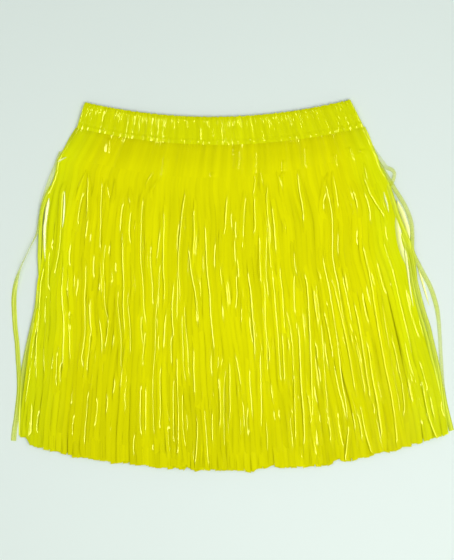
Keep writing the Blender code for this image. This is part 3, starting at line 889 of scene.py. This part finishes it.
def mesh_piece(name, places, faces, smooth, material, uvs=None, attributes=None):
    """An object at the origin from arrays of places and of four-cornered faces."""
    mesh = bpy.data.meshes.new(name)
    mesh.vertices.add(len(places))
    mesh.vertices.foreach_set("co", (places + page_shift()).astype(np.float32).ravel())
    mesh.loops.add(faces.size)
    mesh.loops.foreach_set("vertex_index", faces.astype(np.int32).ravel())
    mesh.polygons.add(len(faces))
    mesh.polygons.foreach_set("loop_start", np.arange(0, faces.size, 4, dtype=np.int32))
    mesh.update(calc_edges=True)
    smooth = np.broadcast_to(smooth, len(faces))
    mesh.polygons.foreach_set("use_smooth", smooth.astype(bool))
    mark_rims(mesh, smooth)
    if uvs is not None:
        layer = mesh.uv_layers.new(name="UVMap")
        layer.data.foreach_set("uv", uvs[faces.ravel()].astype(np.float32).ravel())
    for key, values in (attributes or {}).items():
        attribute = mesh.attributes.new(key, "FLOAT", "POINT")
        attribute.data.foreach_set("value", values.astype(np.float32))
    mesh.materials.append(material)
    mesh.update()
    piece = bpy.data.objects.new(name, mesh)
    bpy.context.scene.collection.objects.link(piece)
    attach(piece, "root")
    return piece


def mark_rims(mesh, smooth):
    """Makes every edge of a flat face sharp, so that the thin rims don't bend the film's shading."""
    edges = np.empty(len(mesh.loops), dtype=np.int32)
    mesh.loops.foreach_get("edge_index", edges)
    sharp = np.zeros(len(mesh.edges), dtype=bool)
    sharp[edges.reshape(-1, 4)[~smooth].ravel()] = True
    attribute = mesh.attributes.new("sharp_edge", "BOOLEAN", "EDGE")
    attribute.data.foreach_set("value", sharp)


def steps_along(points):
    """How far each ring is down its strip, in metres, measured along the middle column."""
    middle = points[:, :, points.shape[2] // 2]
    steps = np.linalg.norm(np.diff(middle, axis=1), axis=2)
    start = np.zeros((len(points), 1))
    return np.concatenate([start, np.cumsum(steps, axis=1)], axis=1)[:, :, None]


def ribbon(centres, width, angles):
    """Strips along paths: each facet of the cross-section has its own angle to the path's level.

    centres is strips x rings x 3, width strips x rings, and angles strips x rings x facets. Steps of
    cosine and sine add up across the strip, and the middle of the strip stays on the path.
    """
    tangents = np.gradient(centres, axis=1)
    tangents /= np.linalg.norm(tangents, axis=2, keepdims=True)
    beside = np.cross([0.0, 0.0, 1.0], tangents)
    beside /= np.linalg.norm(beside, axis=2, keepdims=True)
    above = np.cross(tangents, beside)
    step = (width / angles.shape[2])[..., None]
    start = np.zeros((*angles.shape[:2], 1))
    lateral = np.concatenate([start, np.cumsum(step * np.cos(angles), axis=2)], axis=2)
    upwards = np.concatenate([start, np.cumsum(step * np.sin(angles), axis=2)], axis=2)
    middle = angles.shape[2] // 2
    lateral = lateral - lateral[..., middle:middle + 1]
    upwards = upwards - upwards[..., middle:middle + 1]
    return (centres[:, :, None, :] + lateral[..., None] * beside[:, :, None, :]
            + upwards[..., None] * above[:, :, None, :])


def curl_angles(layer, random, down):
    """Angles of the facets: a slow tilt of the whole strip, and short curls of the kinds in the table.

    Each curl has its own place and length down the strip, and comes and goes smoothly.
    """
    count, events = layer.strips, layer.curls
    tilt = layer.tilt * rippled(random, count, down, 4, 0.8, 5.0)
    place = 0.08 + 0.92 * random.beta(1.5, 1.3, (count, events))
    reach = random.uniform(0.018, 0.085, (count, events))
    turn = layer.bend * random.uniform(0.42, 0.62, (count, events)) * random.choice([-1, 1], (count, events))
    away = np.abs(down[None, None, :] - place[..., None])
    window = smooth_step((reach[..., None] - away) / (0.6 * reach[..., None]))
    kinds = random.choice(len(CURL_KINDS), (count, events), p=CURL_SHARES)
    curls = np.einsum("ser,sef->srf", turn[..., None] * window, CURL_KINDS[kinds])
    return 1.2 * np.tanh((tilt[..., None] + curls) / 1.2)


def fringe_film(layer, sizes, joins_margin):
    """One set of strips from the slit line to the hem, as a Film.

    Each strip keeps its share of the skirt's width, wanders a little to its sides and rises and curls by
    smooth uneven curves. Every second strip lies over its neighbours. Strips that join the margin leave
    its surface at their own slit and are free a little further down. Strips whose tops dive begin at the
    slit line, inside the skirt, and the others where the margin's own film ends.
    """
    random = np.random.default_rng(layer.seed)
    count, rings = layer.strips, layer.rings
    down = np.linspace(0.0 if layer.dive else JOIN_TOP, 1.0, rings)
    places = (np.arange(count) + 0.5) / count
    shares = (layer.start + (layer.end - layer.start) * places)[:, None]
    free = smooth_step(down / 0.10)[None, :]
    short = layer.short + sizes.hem_jag * random.uniform(0.0, 1.0, (count, 1)) ** 3
    x, y = fringe_place(shares, down[None, :], short)
    pitch = (fringe_place(1.0, down)[0] - fringe_place(0.0, down)[0]) / FRONT_TOP.strips
    wander = layer.wander * rippled(random, count, down, 3, 0.5, 2.2) * free
    edge_room = smooth_step(np.minimum(shares, 1 - shares) / 0.05)
    x = x + wander * (0.25 + 0.75 * edge_room)
    lifted = (np.arange(count) % 2)[:, None] * layer.lift
    hop = layer.hop * rippled(random, count, down, 3, 0.8, 3.5)
    z = layer.height + lifted * free + hop * free
    if not joins_margin:
        z = z - layer.dive * (1 - smooth_step(down / 0.16))[None, :]
    z = z * (0.45 + 0.55 * side_round(shares, 0.04))
    x = x + shared_drift(shares, down[None, :]) * edge_room
    z = z * (1 - 0.35 * smooth_step((down - 0.90) / 0.10)[None, :])
    centres = np.stack(np.broadcast_arrays(x, y, z), axis=-1)
    width = np.minimum(sizes.strip, pitch * 1.25)[None, :] * np.ones((count, 1))
    angles = curl_angles(layer, random, down) * free[..., None]
    points = ribbon(centres, width, angles)
    columns = shares[..., None] + np.linspace(-0.5, 0.5, FACETS + 1)[None, None, :] / FRONT_TOP.strips
    slant = strip_ends(columns) - strip_ends(shares[..., None])
    points[..., 1] += slant * smooth_step((down - 0.90) / 0.10)[None, :, None]
    # Tone: each strip lighter or darker at random, soft shared bands, and painted shade towards the hem; near
    # the top it fades into the margin's painted shade
    tone = random.uniform(-1.6, 1.6, (count, 1)) + slow_tone(shares) + hem_painted_shade(down)[None, :]
    tone = (tone * free)[..., None] + margin_painted_shade(shares, 1.0)[..., None] * (1 - free[..., None])
    if joins_margin:
        points = join_to_margin(points, places, count, down, sizes, random)
    points[..., 2] = np.maximum(points[..., 2], 0.6 * sizes.film)
    # Painted shade along each strip's edges
    tone = tone + painted_edge_shade(random, count) * free[..., None]
    across = np.linspace(-0.5, 0.5, FACETS + 1)[None, None, :] * sizes.strip
    across = across + (np.arange(count)[:, None, None] * STREAK_SHIFT + layer.seed * 0.31)
    pile = pile_depth(shares)[:, :, None]
    return Film(points, steps_along(points), across, tone, pile)


def slow_tone(across):
    """Lightness that neighbouring strips share: soft bands 10 to 30 mm wide."""
    return 0.8 * uneven_line(across, 71, 7, 8.0, 30.0)


def painted_edge_shade(random, count):
    """Painted shade: each strip is darker along its edges, where its neighbours shade it."""
    left, right = random.uniform(0.0, 5.0, (2, count, 1, 1))
    across = np.linspace(0.0, 1.0, FACETS + 1)
    return -left * (1 - across) ** 4 - right * across ** 4


def hem_painted_shade(down):
    """The strips lie closer and deeper towards the hem; the film there is darker by painted shade."""
    return -4.0 * smooth_step((down - 0.40) / 0.60)


def margin_painted_shade(across, down):
    """Painted shade on the margin: soft fold shading, darker close under the band, where the gathers are
    packed, and darkest in a painted shadow just under the band's edge.
    """
    folds = 0.8 * uneven_line(across + 0.004 * down, 72, 8, 10.0, 34.0)
    return folds - 3.6 * (1 - smooth_step((down - 0.2) / 0.6)) - 3.0 * np.exp(-(down / 0.12) ** 2)


def shared_drift(across, down):
    """Sideways drift that neighbouring strips share: a sum of slow waves down and across the skirt."""
    return 0.0012 * smooth_step(down / 0.15) * (
        np.sin(2 * math.pi * (1.3 * down + 2.6 * across)) + np.sin(2 * math.pi * (0.7 * down - 4.3 * across))
    )


def creased_film(sizes, rows, seed):
    """Loose strips of the front's top set, one for each crease in the table, as a Film.

    A strip begins narrow, follows the fan outside its crease and lies hidden in the pile there. Along the
    crease it lies on top, and one edge is turned up.
    """
    random = np.random.default_rng(seed)
    count, rings = len(rows), 56
    lines = [line[:, None] for line in crease_lines(rows, fringe_spot)]
    start = np.clip(lines[3] - 0.02, -0.10, 0.0)
    down = start + (1 - start) * np.linspace(0.0, 1.0, rings)[None, :]
    part, shares = along_crease(lines, down)
    shares = np.clip(shares, 0.010, 0.990)
    short = sizes.hem_jag * random.uniform(0.3, 1.3, (count, 1))
    x, y = fringe_place(shares, down, short)
    inside = np.minimum(down - lines[3], lines[4] - down)
    rise = smooth_step(inside / 0.07 + 0.95) * smooth_step((down - start) / 0.02)
    order = random.permutation(count)[:, None]
    hidden = 0.0030 + 0.0017 * smooth_step(down / 0.12)
    beneath = margin_height(shares, 1 + 6.9 * down) * (1 - smooth_step((down - 0.03) / 0.06))
    z = hidden + rise * (np.maximum(0.0056, beneath + 0.0005) + 0.0003 * (order % 3) - hidden)
    z = z * (0.45 + 0.55 * side_round(shares, 0.04))
    side = random.choice([-1.0, 1.0], (count, 1))
    centres = np.stack(np.broadcast_arrays(x - side * 0.0016 * rise, y, z), axis=-1)
    width = random.uniform(0.0042, 0.0064, (count, 1)) * (0.2 + 0.8 * smooth_step((down - start) / 0.08))
    turn = random.uniform(0.48, 0.60, (count, 1)) * smooth_step(inside / 0.015 + 0.6)
    rising = np.where(side[..., None] > 0, CURL_KINDS[0], -CURL_KINDS[1])
    ripple = rippled(random, count, np.linspace(0.0, 1.0, rings), 3)
    angles = turn[..., None] * rising + 0.03 * ripple[..., None]
    points = ribbon(centres, width, angles)
    points[..., 2] = np.maximum(points[..., 2], 0.6 * sizes.film)
    across = np.linspace(-0.5, 0.5, FACETS + 1)[None, None, :] * sizes.strip
    across = across + np.arange(count)[:, None, None] * 0.037 + 11.0 + seed
    # Tone: each strip lighter or darker at random, soft shared bands, and painted shade towards the hem, along
    # its edges and near the top from the margin
    tone = random.uniform(-1.6, 1.6, (count, 1)) + slow_tone(shares) + hem_painted_shade(down)
    tone = tone[..., None] + painted_edge_shade(random, count)
    free = smooth_step((down - start) / 0.10)[..., None]
    tone = tone * free + margin_painted_shade(shares, 1.0)[..., None] * (1 - free)
    return Film(points, steps_along(points), across, tone, pile_depth(shares)[:, :, None])


def join_to_margin(points, places, count, down, sizes, random):
    """Blends strips into the margin's surface: on it above the slit, free below it."""
    columns = points.shape[2]
    edge = np.linspace(-0.5, 0.5, columns)[None, None, :] / count
    shares = np.broadcast_to(places[:, None, None] + edge, points.shape[:3])
    below = np.broadcast_to(down[None, :, None], points.shape[:3])
    length = SLIT_LINE.up_middle - HEM.up_middle
    height = height_on_page(BAND_SEAM, 0.5) - height_on_page(SLIT_LINE, 0.5)
    in_margin = 1 + below * length / height
    in_margin = np.where(below < 0, 1 - (1 - MARGIN_END) * below / JOIN_TOP, in_margin)
    x_free, y_free = fringe_place(shares, below)
    x_held, y_held = margin_place(shares, in_margin)
    above = (below < 0)[..., None]
    z = margin_height(shares, in_margin)
    tiled = np.where(above, np.stack([x_held, y_held, z], axis=-1), np.stack([x_free, y_free, z], axis=-1))
    slit = random.uniform(0.0, sizes.slit_reach, (count, 1, 1)) / length + JOIN_TOP
    blend = smooth_step((below - slit) / 0.085)[..., None]
    return tiled * (1 - blend) + points * blend


def tube_columns(front, back, side_steps=5):
    """Shares across a flattened tube: over the front, round the right fold, back, and round the left.

    Gives each column's share, how far it is round from the front (0) to the back (1), and its bulge.
    """
    turn = np.linspace(0, math.pi, side_steps + 2)[1:-1]
    down_right = 0.5 - 0.5 * np.cos(turn)
    shares = np.concatenate([front, np.ones(side_steps), back[::-1], np.zeros(side_steps)])
    rounds = np.concatenate([
        np.zeros(len(front)), down_right, np.ones(len(back)), 1 - down_right,
    ])
    bulges = np.concatenate([
        np.zeros(len(front)), np.sin(turn), np.zeros(len(back)), -np.sin(turn),
    ])
    return shares, rounds, bulges


def band_gathers(shares, down, sizes):
    """Heights of the band's gathers: a sum of bell-shaped ridges, each from its own start to its own end
    down the band. ridges(down) times ridges(share) adds them all as one product of two arrays."""
    random = np.random.default_rng(43)
    count = int(sizes.gathers * 3.8)
    width = BAND_SEAM.right - BAND_SEAM.left
    place = (np.arange(count) + random.uniform(-0.5, 1.5, count)) / count
    radius = random.uniform(0.00040, 0.00068, count)
    rise = radius * random.uniform(0.40, 0.90, count)
    start = random.choice([-0.4, -0.4, -0.4, 0.35, 0.76, 0.76], count) + random.uniform(0.0, 0.1, count)
    reach = np.where(start > 0.7, 0.20, random.uniform(0.10, 0.55, count))
    ends = np.minimum(start + reach + 0.4 * (start < 0), 1.3)
    across = np.exp(-((shares[None, :] - place[:, None]) * width / radius[:, None]) ** 2)
    fade_in = smooth_step((down - start[None, :]) / 0.10)
    fade_out = smooth_step((ends[None, :] - down) / 0.14)
    return (fade_in * fade_out * rise[None, :]) @ across


def band_film(sizes):
    """The gathered casing, front and back, as one flattened tube.

    Its height follows the table of band rows, plus slow waves and the ridges of its gathers.
    """
    front = np.linspace(0.0, 1.0, sizes.gathers * 28 + 1)
    back = np.linspace(0.0, 1.0, sizes.gathers * 6 + 1)
    shares, rounds, bulges = tube_columns(front, back)
    down = np.linspace(0.0, 1.0, 22)[:, None]
    downs = [row.down for row in BAND_ROWS]
    height = through(downs, [row.height for row in BAND_ROWS], down)
    depth = through(downs, [row.depth for row in BAND_ROWS], down)
    across = np.broadcast_to(shares[None, :], (len(down), len(shares)))
    slow = 0.00016 * uneven_line(shares, 42, 8, 14.0, 55.0)[None, :]
    round_off = 0.7 + 0.3 * side_round(across, 0.008)
    gathers = band_gathers(shares, down, sizes)
    over = (height + depth * (slow + gathers)) * round_off
    sway = 0.8 * uneven_line(shares, 41, 6, 4.0, 17.0)
    under = LOWEST_FILM + 0.0013 * gather_wave(across, sizes.gathers, sway)
    x = level_x(BAND_TOP, across) * (1 - down) + level_x(BAND_SEAM, across) * down
    frill = 0.00028 * uneven_line(shares, 44, 9, 20.0, 90.0)[None, :] * (1 - down) ** 6
    y = (height_on_page(BAND_TOP, across) - 0.0006) * (1 - down) + height_on_page(BAND_SEAM, across) * down
    y = y + frill
    z = over * (1 - rounds[None, :]) + under * rounds[None, :]
    x = x + bulges[None, :] * height * 0.12
    points = np.stack([x, y, z], axis=-1)[None]
    lengthwise = down * 0.033
    # Painted shade: over a random tone, the band's film is darker in the valleys between its gathers and
    # lighter on their crests
    tone = uneven_line(shares, 73, 9, 16.0, 60.0)[None, :] - 2.8
    tone = tone + 4.2 * np.clip(gathers / 0.0004, 0.0, 1.3)
    crinkle = through(downs, [row.crinkle for row in BAND_ROWS], down) * (1 - rounds[None, :])
    return Film(points, lengthwise[None], across[None] * BAND_WIDE, tone[None], 0.3 * pile_depth(across)[None],
                crinkle=crinkle[None], wraps=True)


def margin_film():
    """The uncut margin, front and back, as one flattened tube that starts just under the band's edge."""
    front = np.linspace(0.0, 1.0, FRONT_TOP.strips * FACETS * 3 + 1)
    back = np.linspace(0.0, 1.0, FRONT_TOP.strips * 2 + 1)
    shares, rounds, bulges = tube_columns(front, back)
    down = np.linspace(-0.03, MARGIN_END, 30)[:, None]
    across = np.broadcast_to(shares[None, :], (len(down), len(shares)))
    x, y = margin_place(across, down)
    over = margin_height(across, down)
    under = LOWEST_FILM + 0.0003 * (1 + 0.7 * uneven_line(shares, 51, 6, 9.0, 30.0)[None, :]).clip(0, 2)
    z = over * (1 - rounds[None, :]) + under * rounds[None, :]
    x = x + bulges[None, :] * 0.0022 * (1 - 0.8 * smooth_step((down - 0.2) / 0.6))
    points = np.stack([x, y, z], axis=-1)[None]
    lengthwise = down * MARGIN_LONG
    crinkle = 0.6 * np.exp(-np.maximum(down, 0) / 0.10) * (1 - rounds[None, :])
    # The margin's tone is painted shade of its folds and of the band above it
    return Film(points, lengthwise[None], across[None] * MARGIN_WIDE, margin_painted_shade(across, down)[None],
                pile_depth(across)[None], crinkle=crinkle[None], wraps=True)


def stray_film(stray, number, soft):
    """A strip along a smooth curve through its points, turned on its edge and rolled as they say.

    Where soft is 1, the strip narrows where its cover falls, and fades towards its edges by the fourth
    power.

    The film is a closed thin wall, so a ray meets it twice: 1 - sqrt(1 - cover) on each face together
    hides what the cover says.
    """
    rings, facets = 110, 12
    stations = np.arange(len(stray.points), dtype=float)
    at = np.linspace(0.0, stations[-1], rings)
    curves = [
        through(stations, [getattr(point, key) for point in stray.points], at)
        for key in Point._fields
    ]
    centres = np.stack(curves[:3], axis=-1)[None]
    turn, roll = curves[3][None, :, None], curves[4][None, :, None]
    angles = turn + roll * np.linspace(1.0, -1.0, facets)
    share = np.clip(curves[5], 0.0, 1.0)[None]
    narrow = soft * (1 - share)
    points = ribbon(centres, stray.width * (1 - 0.9 * narrow), angles)
    sunk = np.maximum(LOWEST_FILM - points[..., 2].min(axis=2), 0.0)
    points[..., 2] += sunk[..., None]
    across = np.linspace(-0.5, 0.5, facets + 1)[None, None, :] * stray.width + 7.7 + number * STREAK_SHIFT
    fall = 1 - soft * np.linspace(-1.0, 1.0, facets + 1) ** 4
    cover = 1 - np.sqrt(1 - (share + narrow)[..., None] * fall)
    return Film(points, steps_along(points), across, 0.0, 0.0, cover=cover)


class Wire:
    """A value in a material. Python's operators on it add Math nodes."""

    def __init__(self, nodes, socket):
        self.nodes = nodes
        self.socket = socket

    def maths(self, operation, first, second):
        return self.nodes.add("ShaderNodeMath", {"operation": operation}, {0: first, 1: second})

    def __add__(self, other):
        return self.maths("ADD", self, other)

    def __sub__(self, other):
        return self.maths("SUBTRACT", self, other)

    def __rsub__(self, other):
        return self.maths("SUBTRACT", other, self)

    def __mul__(self, other):
        return self.maths("MULTIPLY", self, other)

    __radd__ = __add__
    __rmul__ = __mul__


class Nodes:
    """The nodes of one material."""

    def __init__(self, name):
        self.material = bpy.data.materials.new(name)
        self.material.use_nodes = True
        self.tree = self.material.node_tree
        self.tree.nodes.clear()

    def add(self, kind, settings, sockets, output=0):
        """A node of a kind: its settings first, then its sockets' values or links. Gives one output."""
        node = self.tree.nodes.new(kind)
        for key, value in settings.items():
            setattr(node, key, value)
        for key, value in sockets.items():
            if isinstance(value, Wire):
                self.tree.links.new(value.socket, node.inputs[key])
            else:
                node.inputs[key].default_value = value
        return Wire(self, node.outputs[output])

    def finish(self, shader):
        output = self.tree.nodes.new("ShaderNodeOutputMaterial")
        self.tree.links.new(shader.socket, output.inputs["Surface"])
        return self.material


def film_material(name, deep, side, shine=0.075, glint=0.30):
    """Glossy plastic film: greener where few layers lie under it, each strip a little lighter or darker, with
    painted shade from its tone attribute, fine creases along it, fine gathers where it is crinkled, and slow
    clouds over the skirt."""
    nodes = Nodes(name)
    cover = nodes.add("ShaderNodeAttribute", {"attribute_name": "film_cover"}, {}, "Fac")
    crinkle = nodes.add("ShaderNodeAttribute", {"attribute_name": "film_crinkle"}, {}, "Fac")
    # Tone per point: random lightness and painted shade
    tone = nodes.add("ShaderNodeAttribute", {"attribute_name": "strip_tone"}, {}, "Fac")
    pile = nodes.add("ShaderNodeAttribute", {"attribute_name": "pile_depth"}, {}, "Fac")
    place = nodes.add("ShaderNodeUVMap", {"uv_map": "UVMap"}, {}, "UV")
    long_way = nodes.add("ShaderNodeMapping", {}, {"Vector": place, "Scale": (700.0, 26.0, 1.0)}, "Vector")
    crease = nodes.add("ShaderNodeTexNoise", {"noise_dimensions": "2D"},
                       {"Vector": long_way, "Scale": 1.0, "Detail": 3.0, "Roughness": 0.55}, "Fac")
    streak_place = nodes.add("ShaderNodeMapping", {}, {"Vector": place, "Scale": (160.0, 9.0, 1.0)},
                             "Vector")
    streak = nodes.add("ShaderNodeTexNoise", {"noise_dimensions": "2D"},
                       {"Vector": streak_place, "Scale": 1.0, "Detail": 2.0}, "Fac")
    body = nodes.add("ShaderNodeTexCoord", {}, {}, "Object")
    cloud = nodes.add("ShaderNodeTexNoise", {}, {"Vector": body, "Scale": 9.0, "Detail": 2.0}, "Fac")
    colour = nodes.add("ShaderNodeMix", {"data_type": "RGBA"}, {"Factor": pile, 6: side, 7: deep}, 2)
    bright = 0.83 + 0.024 * tone + 0.20 * streak + 0.12 * cloud
    shade = nodes.add("ShaderNodeVectorMath", {"operation": "SCALE"}, {0: colour, "Scale": bright})
    gather_place = nodes.add("ShaderNodeMapping", {}, {"Vector": place, "Scale": (480.0, 50.0, 1.0)},
                             "Vector")
    gather = nodes.add("ShaderNodeTexNoise", {"noise_dimensions": "2D"},
                       {"Vector": gather_place, "Scale": 1.0, "Detail": 0.5}, "Fac")
    height = 0.045 * crease + gather * crinkle
    normal = nodes.add("ShaderNodeBump", {}, {"Strength": 1.0, "Distance": 0.0004, "Height": height})
    shader = nodes.add("ShaderNodeBsdfPrincipled", {}, {
        "Base Color": shade,
        "Roughness": shine + 0.04 * crease,
        "IOR": 1.48,
        "Alpha": cover,
        "Specular IOR Level": 1.0,
        "Specular Tint": (1.0, 1.0, glint, 1.0),
        "Normal": normal,
    })
    return nodes.finish(shader)


def floor_material(colour):
    """Smooth pale board with very faint clouds."""
    nodes = Nodes("pale_floor")
    body = nodes.add("ShaderNodeTexCoord", {}, {}, "Object")
    cloud = nodes.add("ShaderNodeTexNoise", {}, {"Vector": body, "Scale": 2.0, "Detail": 1.0}, "Fac")
    shade = nodes.add("ShaderNodeVectorMath", {"operation": "SCALE"},
                      {0: colour, "Scale": 0.985 + 0.03 * cloud})
    shader = nodes.add("ShaderNodeBsdfPrincipled", {},
                       {"Base Color": shade, "Roughness": 0.7, "Specular IOR Level": 0.2})
    return nodes.finish(shader)


def pile_material(colours):
    known = bpy.data.materials.get("film_pile")
    return known or film_material("film_pile", (*colours.deep, 1.0), (*colours.side, 1.0))


class SKIRT_OT_waistband(bpy.types.Operator):
    """Gathered waistband casing, front and back"""

    bl_idname = "skirt.waistband"
    bl_label = "Waistband"

    def execute(self, context):
        sizes, colours = context.scene.skirt_sizes, context.scene.skirt_colours
        piece = film_piece("waistband", [band_film(sizes)], pile_material(colours), sizes.film)
        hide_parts("waistband_front", "waistband_back")
        return {"FINISHED"}


class SKIRT_OT_margin(bpy.types.Operator):
    """Uncut film margin below the band, front and back"""

    bl_idname = "skirt.margin"
    bl_label = "Margin"

    def execute(self, context):
        sizes, colours = context.scene.skirt_sizes, context.scene.skirt_colours
        piece = film_piece("film_margin", [margin_film()], pile_material(colours), sizes.film)
        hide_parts("yoke_front", "yoke_back")
        return {"FINISHED"}


class SKIRT_OT_fringe(bpy.types.Operator):
    """Two sets of film strips for the front, two for the back, and creased ones on top"""

    bl_idname = "skirt.fringe"
    bl_label = "Fringe"

    def execute(self, context):
        sizes, colours = context.scene.skirt_sizes, context.scene.skirt_colours
        material = pile_material(colours)
        rows = (
            ("front_fringe_top", FRONT_TOP, "film_bright"),
            ("front_fringe_under", FRONT_UNDER, "film_deep"),
            ("back_fringe_under", BACK_UNDER, "film_deep"),
            ("back_fringe_last", BACK_LAST, "film_deep"),
        )
        for name, layer, slot in rows:
            film = fringe_film(layer, sizes, layer is FRONT_TOP)
            piece = film_piece(name, [film], material, sizes.film)
            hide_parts(layer.node)
        film = creased_film(sizes, FRINGE_CREASES, 5)
        loose = film_piece("front_fringe_loose", [film], material, sizes.film)
        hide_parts("fringe_front_outer")
        return {"FINISHED"}


class SKIRT_OT_strays(bpy.types.Operator):
    """Single strips that have strayed out at the sides"""

    bl_idname = "skirt.strays"
    bl_label = "Stray strips"

    def execute(self, context):
        sizes, colours = context.scene.skirt_sizes, context.scene.skirt_colours
        rows = (
            ("stray_strips", SINGLE_STRIPS, "film_single", colours.stray, 0.24, 0.0),
            ("edge_strips", EDGE_STRIPS, "film_edge", colours.edge, 0.30, 0.0),
            # Pale strips of painted glare
            ("glint_strips", GLINT_STRIPS, "film_pale", colours.pale, 0.16, 1.0),
        )
        for name, strips, label, colour, shine, soft in rows:
            material = film_material(label, (*colour, 1.0), (*colour, 1.0), shine, 0.3 + 0.35 * soft)
            films = [stray_film(stray, number, soft) for number, stray in enumerate(strips)]
            piece = film_piece(name, films, material, sizes.film)
            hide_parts("fringe_front_outer")
        return {"FINISHED"}


class SKIRT_OT_stage(bpy.types.Operator):
    """Pale floor, softboxes and the camera straight above"""

    bl_idname = "skirt.stage"
    bl_label = "Stage"

    def execute(self, context):
        lay_floor(context.scene.skirt_colours)
        for box in SOFTBOXES:
            hang_softbox(box)
        dim_room(context.scene)
        set_camera(context.scene)
        context.scene.view_settings.view_transform = "Standard"
        return {"FINISHED"}


def lay_floor(colours):
    half = 2.0
    mesh = bpy.data.meshes.new("floor")
    mesh.from_pydata([(-half, -half, 0), (half, -half, 0), (half, half, 0), (-half, half, 0)], [],
                     [(0, 1, 2, 3)])
    mesh.materials.append(floor_material(tuple(colours.floor)))
    floor = bpy.data.objects.new("floor", mesh)
    bpy.context.scene.collection.objects.link(floor)


def hang_softbox(box):
    """A rectangle light turned to the middle of the skirt, as bright as its radiance says."""
    light = bpy.data.lights.new(box.name, "AREA")
    light.shape = "RECTANGLE"
    light.size = box.width
    light.size_y = box.length
    light.energy = box.radiance * math.pi * box.width * box.length
    lamp = bpy.data.objects.new(box.name, light)
    lamp.location = (box.x, box.y, box.z)
    slant = math.atan2(box.x, box.z)
    lamp.rotation_euler = (0.0, slant, 0.0)
    lamp.visible_glossy = box.glossy
    lamp.visible_diffuse = box.matt
    bpy.context.scene.collection.objects.link(lamp)


def dim_room(scene):
    world = bpy.data.worlds.new("room")
    world.use_nodes = True
    background = world.node_tree.nodes["Background"]
    background.inputs["Color"].default_value = (0.95, 1.0, 0.98, 1.0)
    background.inputs["Strength"].default_value = 0.42
    scene.world = world
    world.cycles_visibility.glossy = False


CAMERA_HEIGHT = 1.50
PHOTO_MIDDLE = (-0.0057, 0.0068)
PHOTO_LENGTH = 0.636
SENSOR = 0.036


def set_camera(scene):
    """Straight above, with the waist at the top of the picture, as far as the photograph reaches."""
    camera = bpy.data.cameras.new("camera")
    camera.sensor_width = SENSOR * 1000
    camera.lens = 1000 * SENSOR * CAMERA_HEIGHT / PHOTO_LENGTH
    eye = bpy.data.objects.new("camera", camera)
    eye.location = (*PHOTO_MIDDLE, CAMERA_HEIGHT)
    scene.collection.objects.link(eye)
    scene.camera = eye


class SKIRT_PT_panel(bpy.types.Panel):
    """Lists the skirt's pieces"""

    bl_idname = "SKIRT_PT_panel"
    bl_label = "Film hula skirt"
    bl_space_type = "VIEW_3D"
    bl_region_type = "UI"
    bl_category = "Skirt"

    def draw(self, context):
        layout = self.layout
        for group in (context.scene.skirt_sizes, context.scene.skirt_colours):
            for key in group.__annotations__:
                layout.prop(group, key)
        for operator in OPERATORS:
            layout.operator(operator.bl_idname)


OPERATORS = (
    SKIRT_OT_fringe,
    SKIRT_OT_strays,
    SKIRT_OT_margin,
    SKIRT_OT_waistband,
    SKIRT_OT_stage,
)
CLASSES = (SkirtSizes, SkirtColours, *OPERATORS, SKIRT_PT_panel)


def register():
    for one in CLASSES:
        bpy.utils.register_class(one)
    bpy.types.Scene.skirt_sizes = PointerProperty(type=SkirtSizes)
    bpy.types.Scene.skirt_colours = PointerProperty(type=SkirtColours)


def unregister():
    del bpy.types.Scene.skirt_sizes
    del bpy.types.Scene.skirt_colours
    for one in reversed(CLASSES):
        bpy.utils.unregister_class(one)


def main():
    register()
    bpy.ops.skirt.fringe()
    bpy.ops.skirt.strays()
    bpy.ops.skirt.margin()
    bpy.ops.skirt.waistband()
    bpy.ops.skirt.stage()


if __name__ == "__main__":
    main()
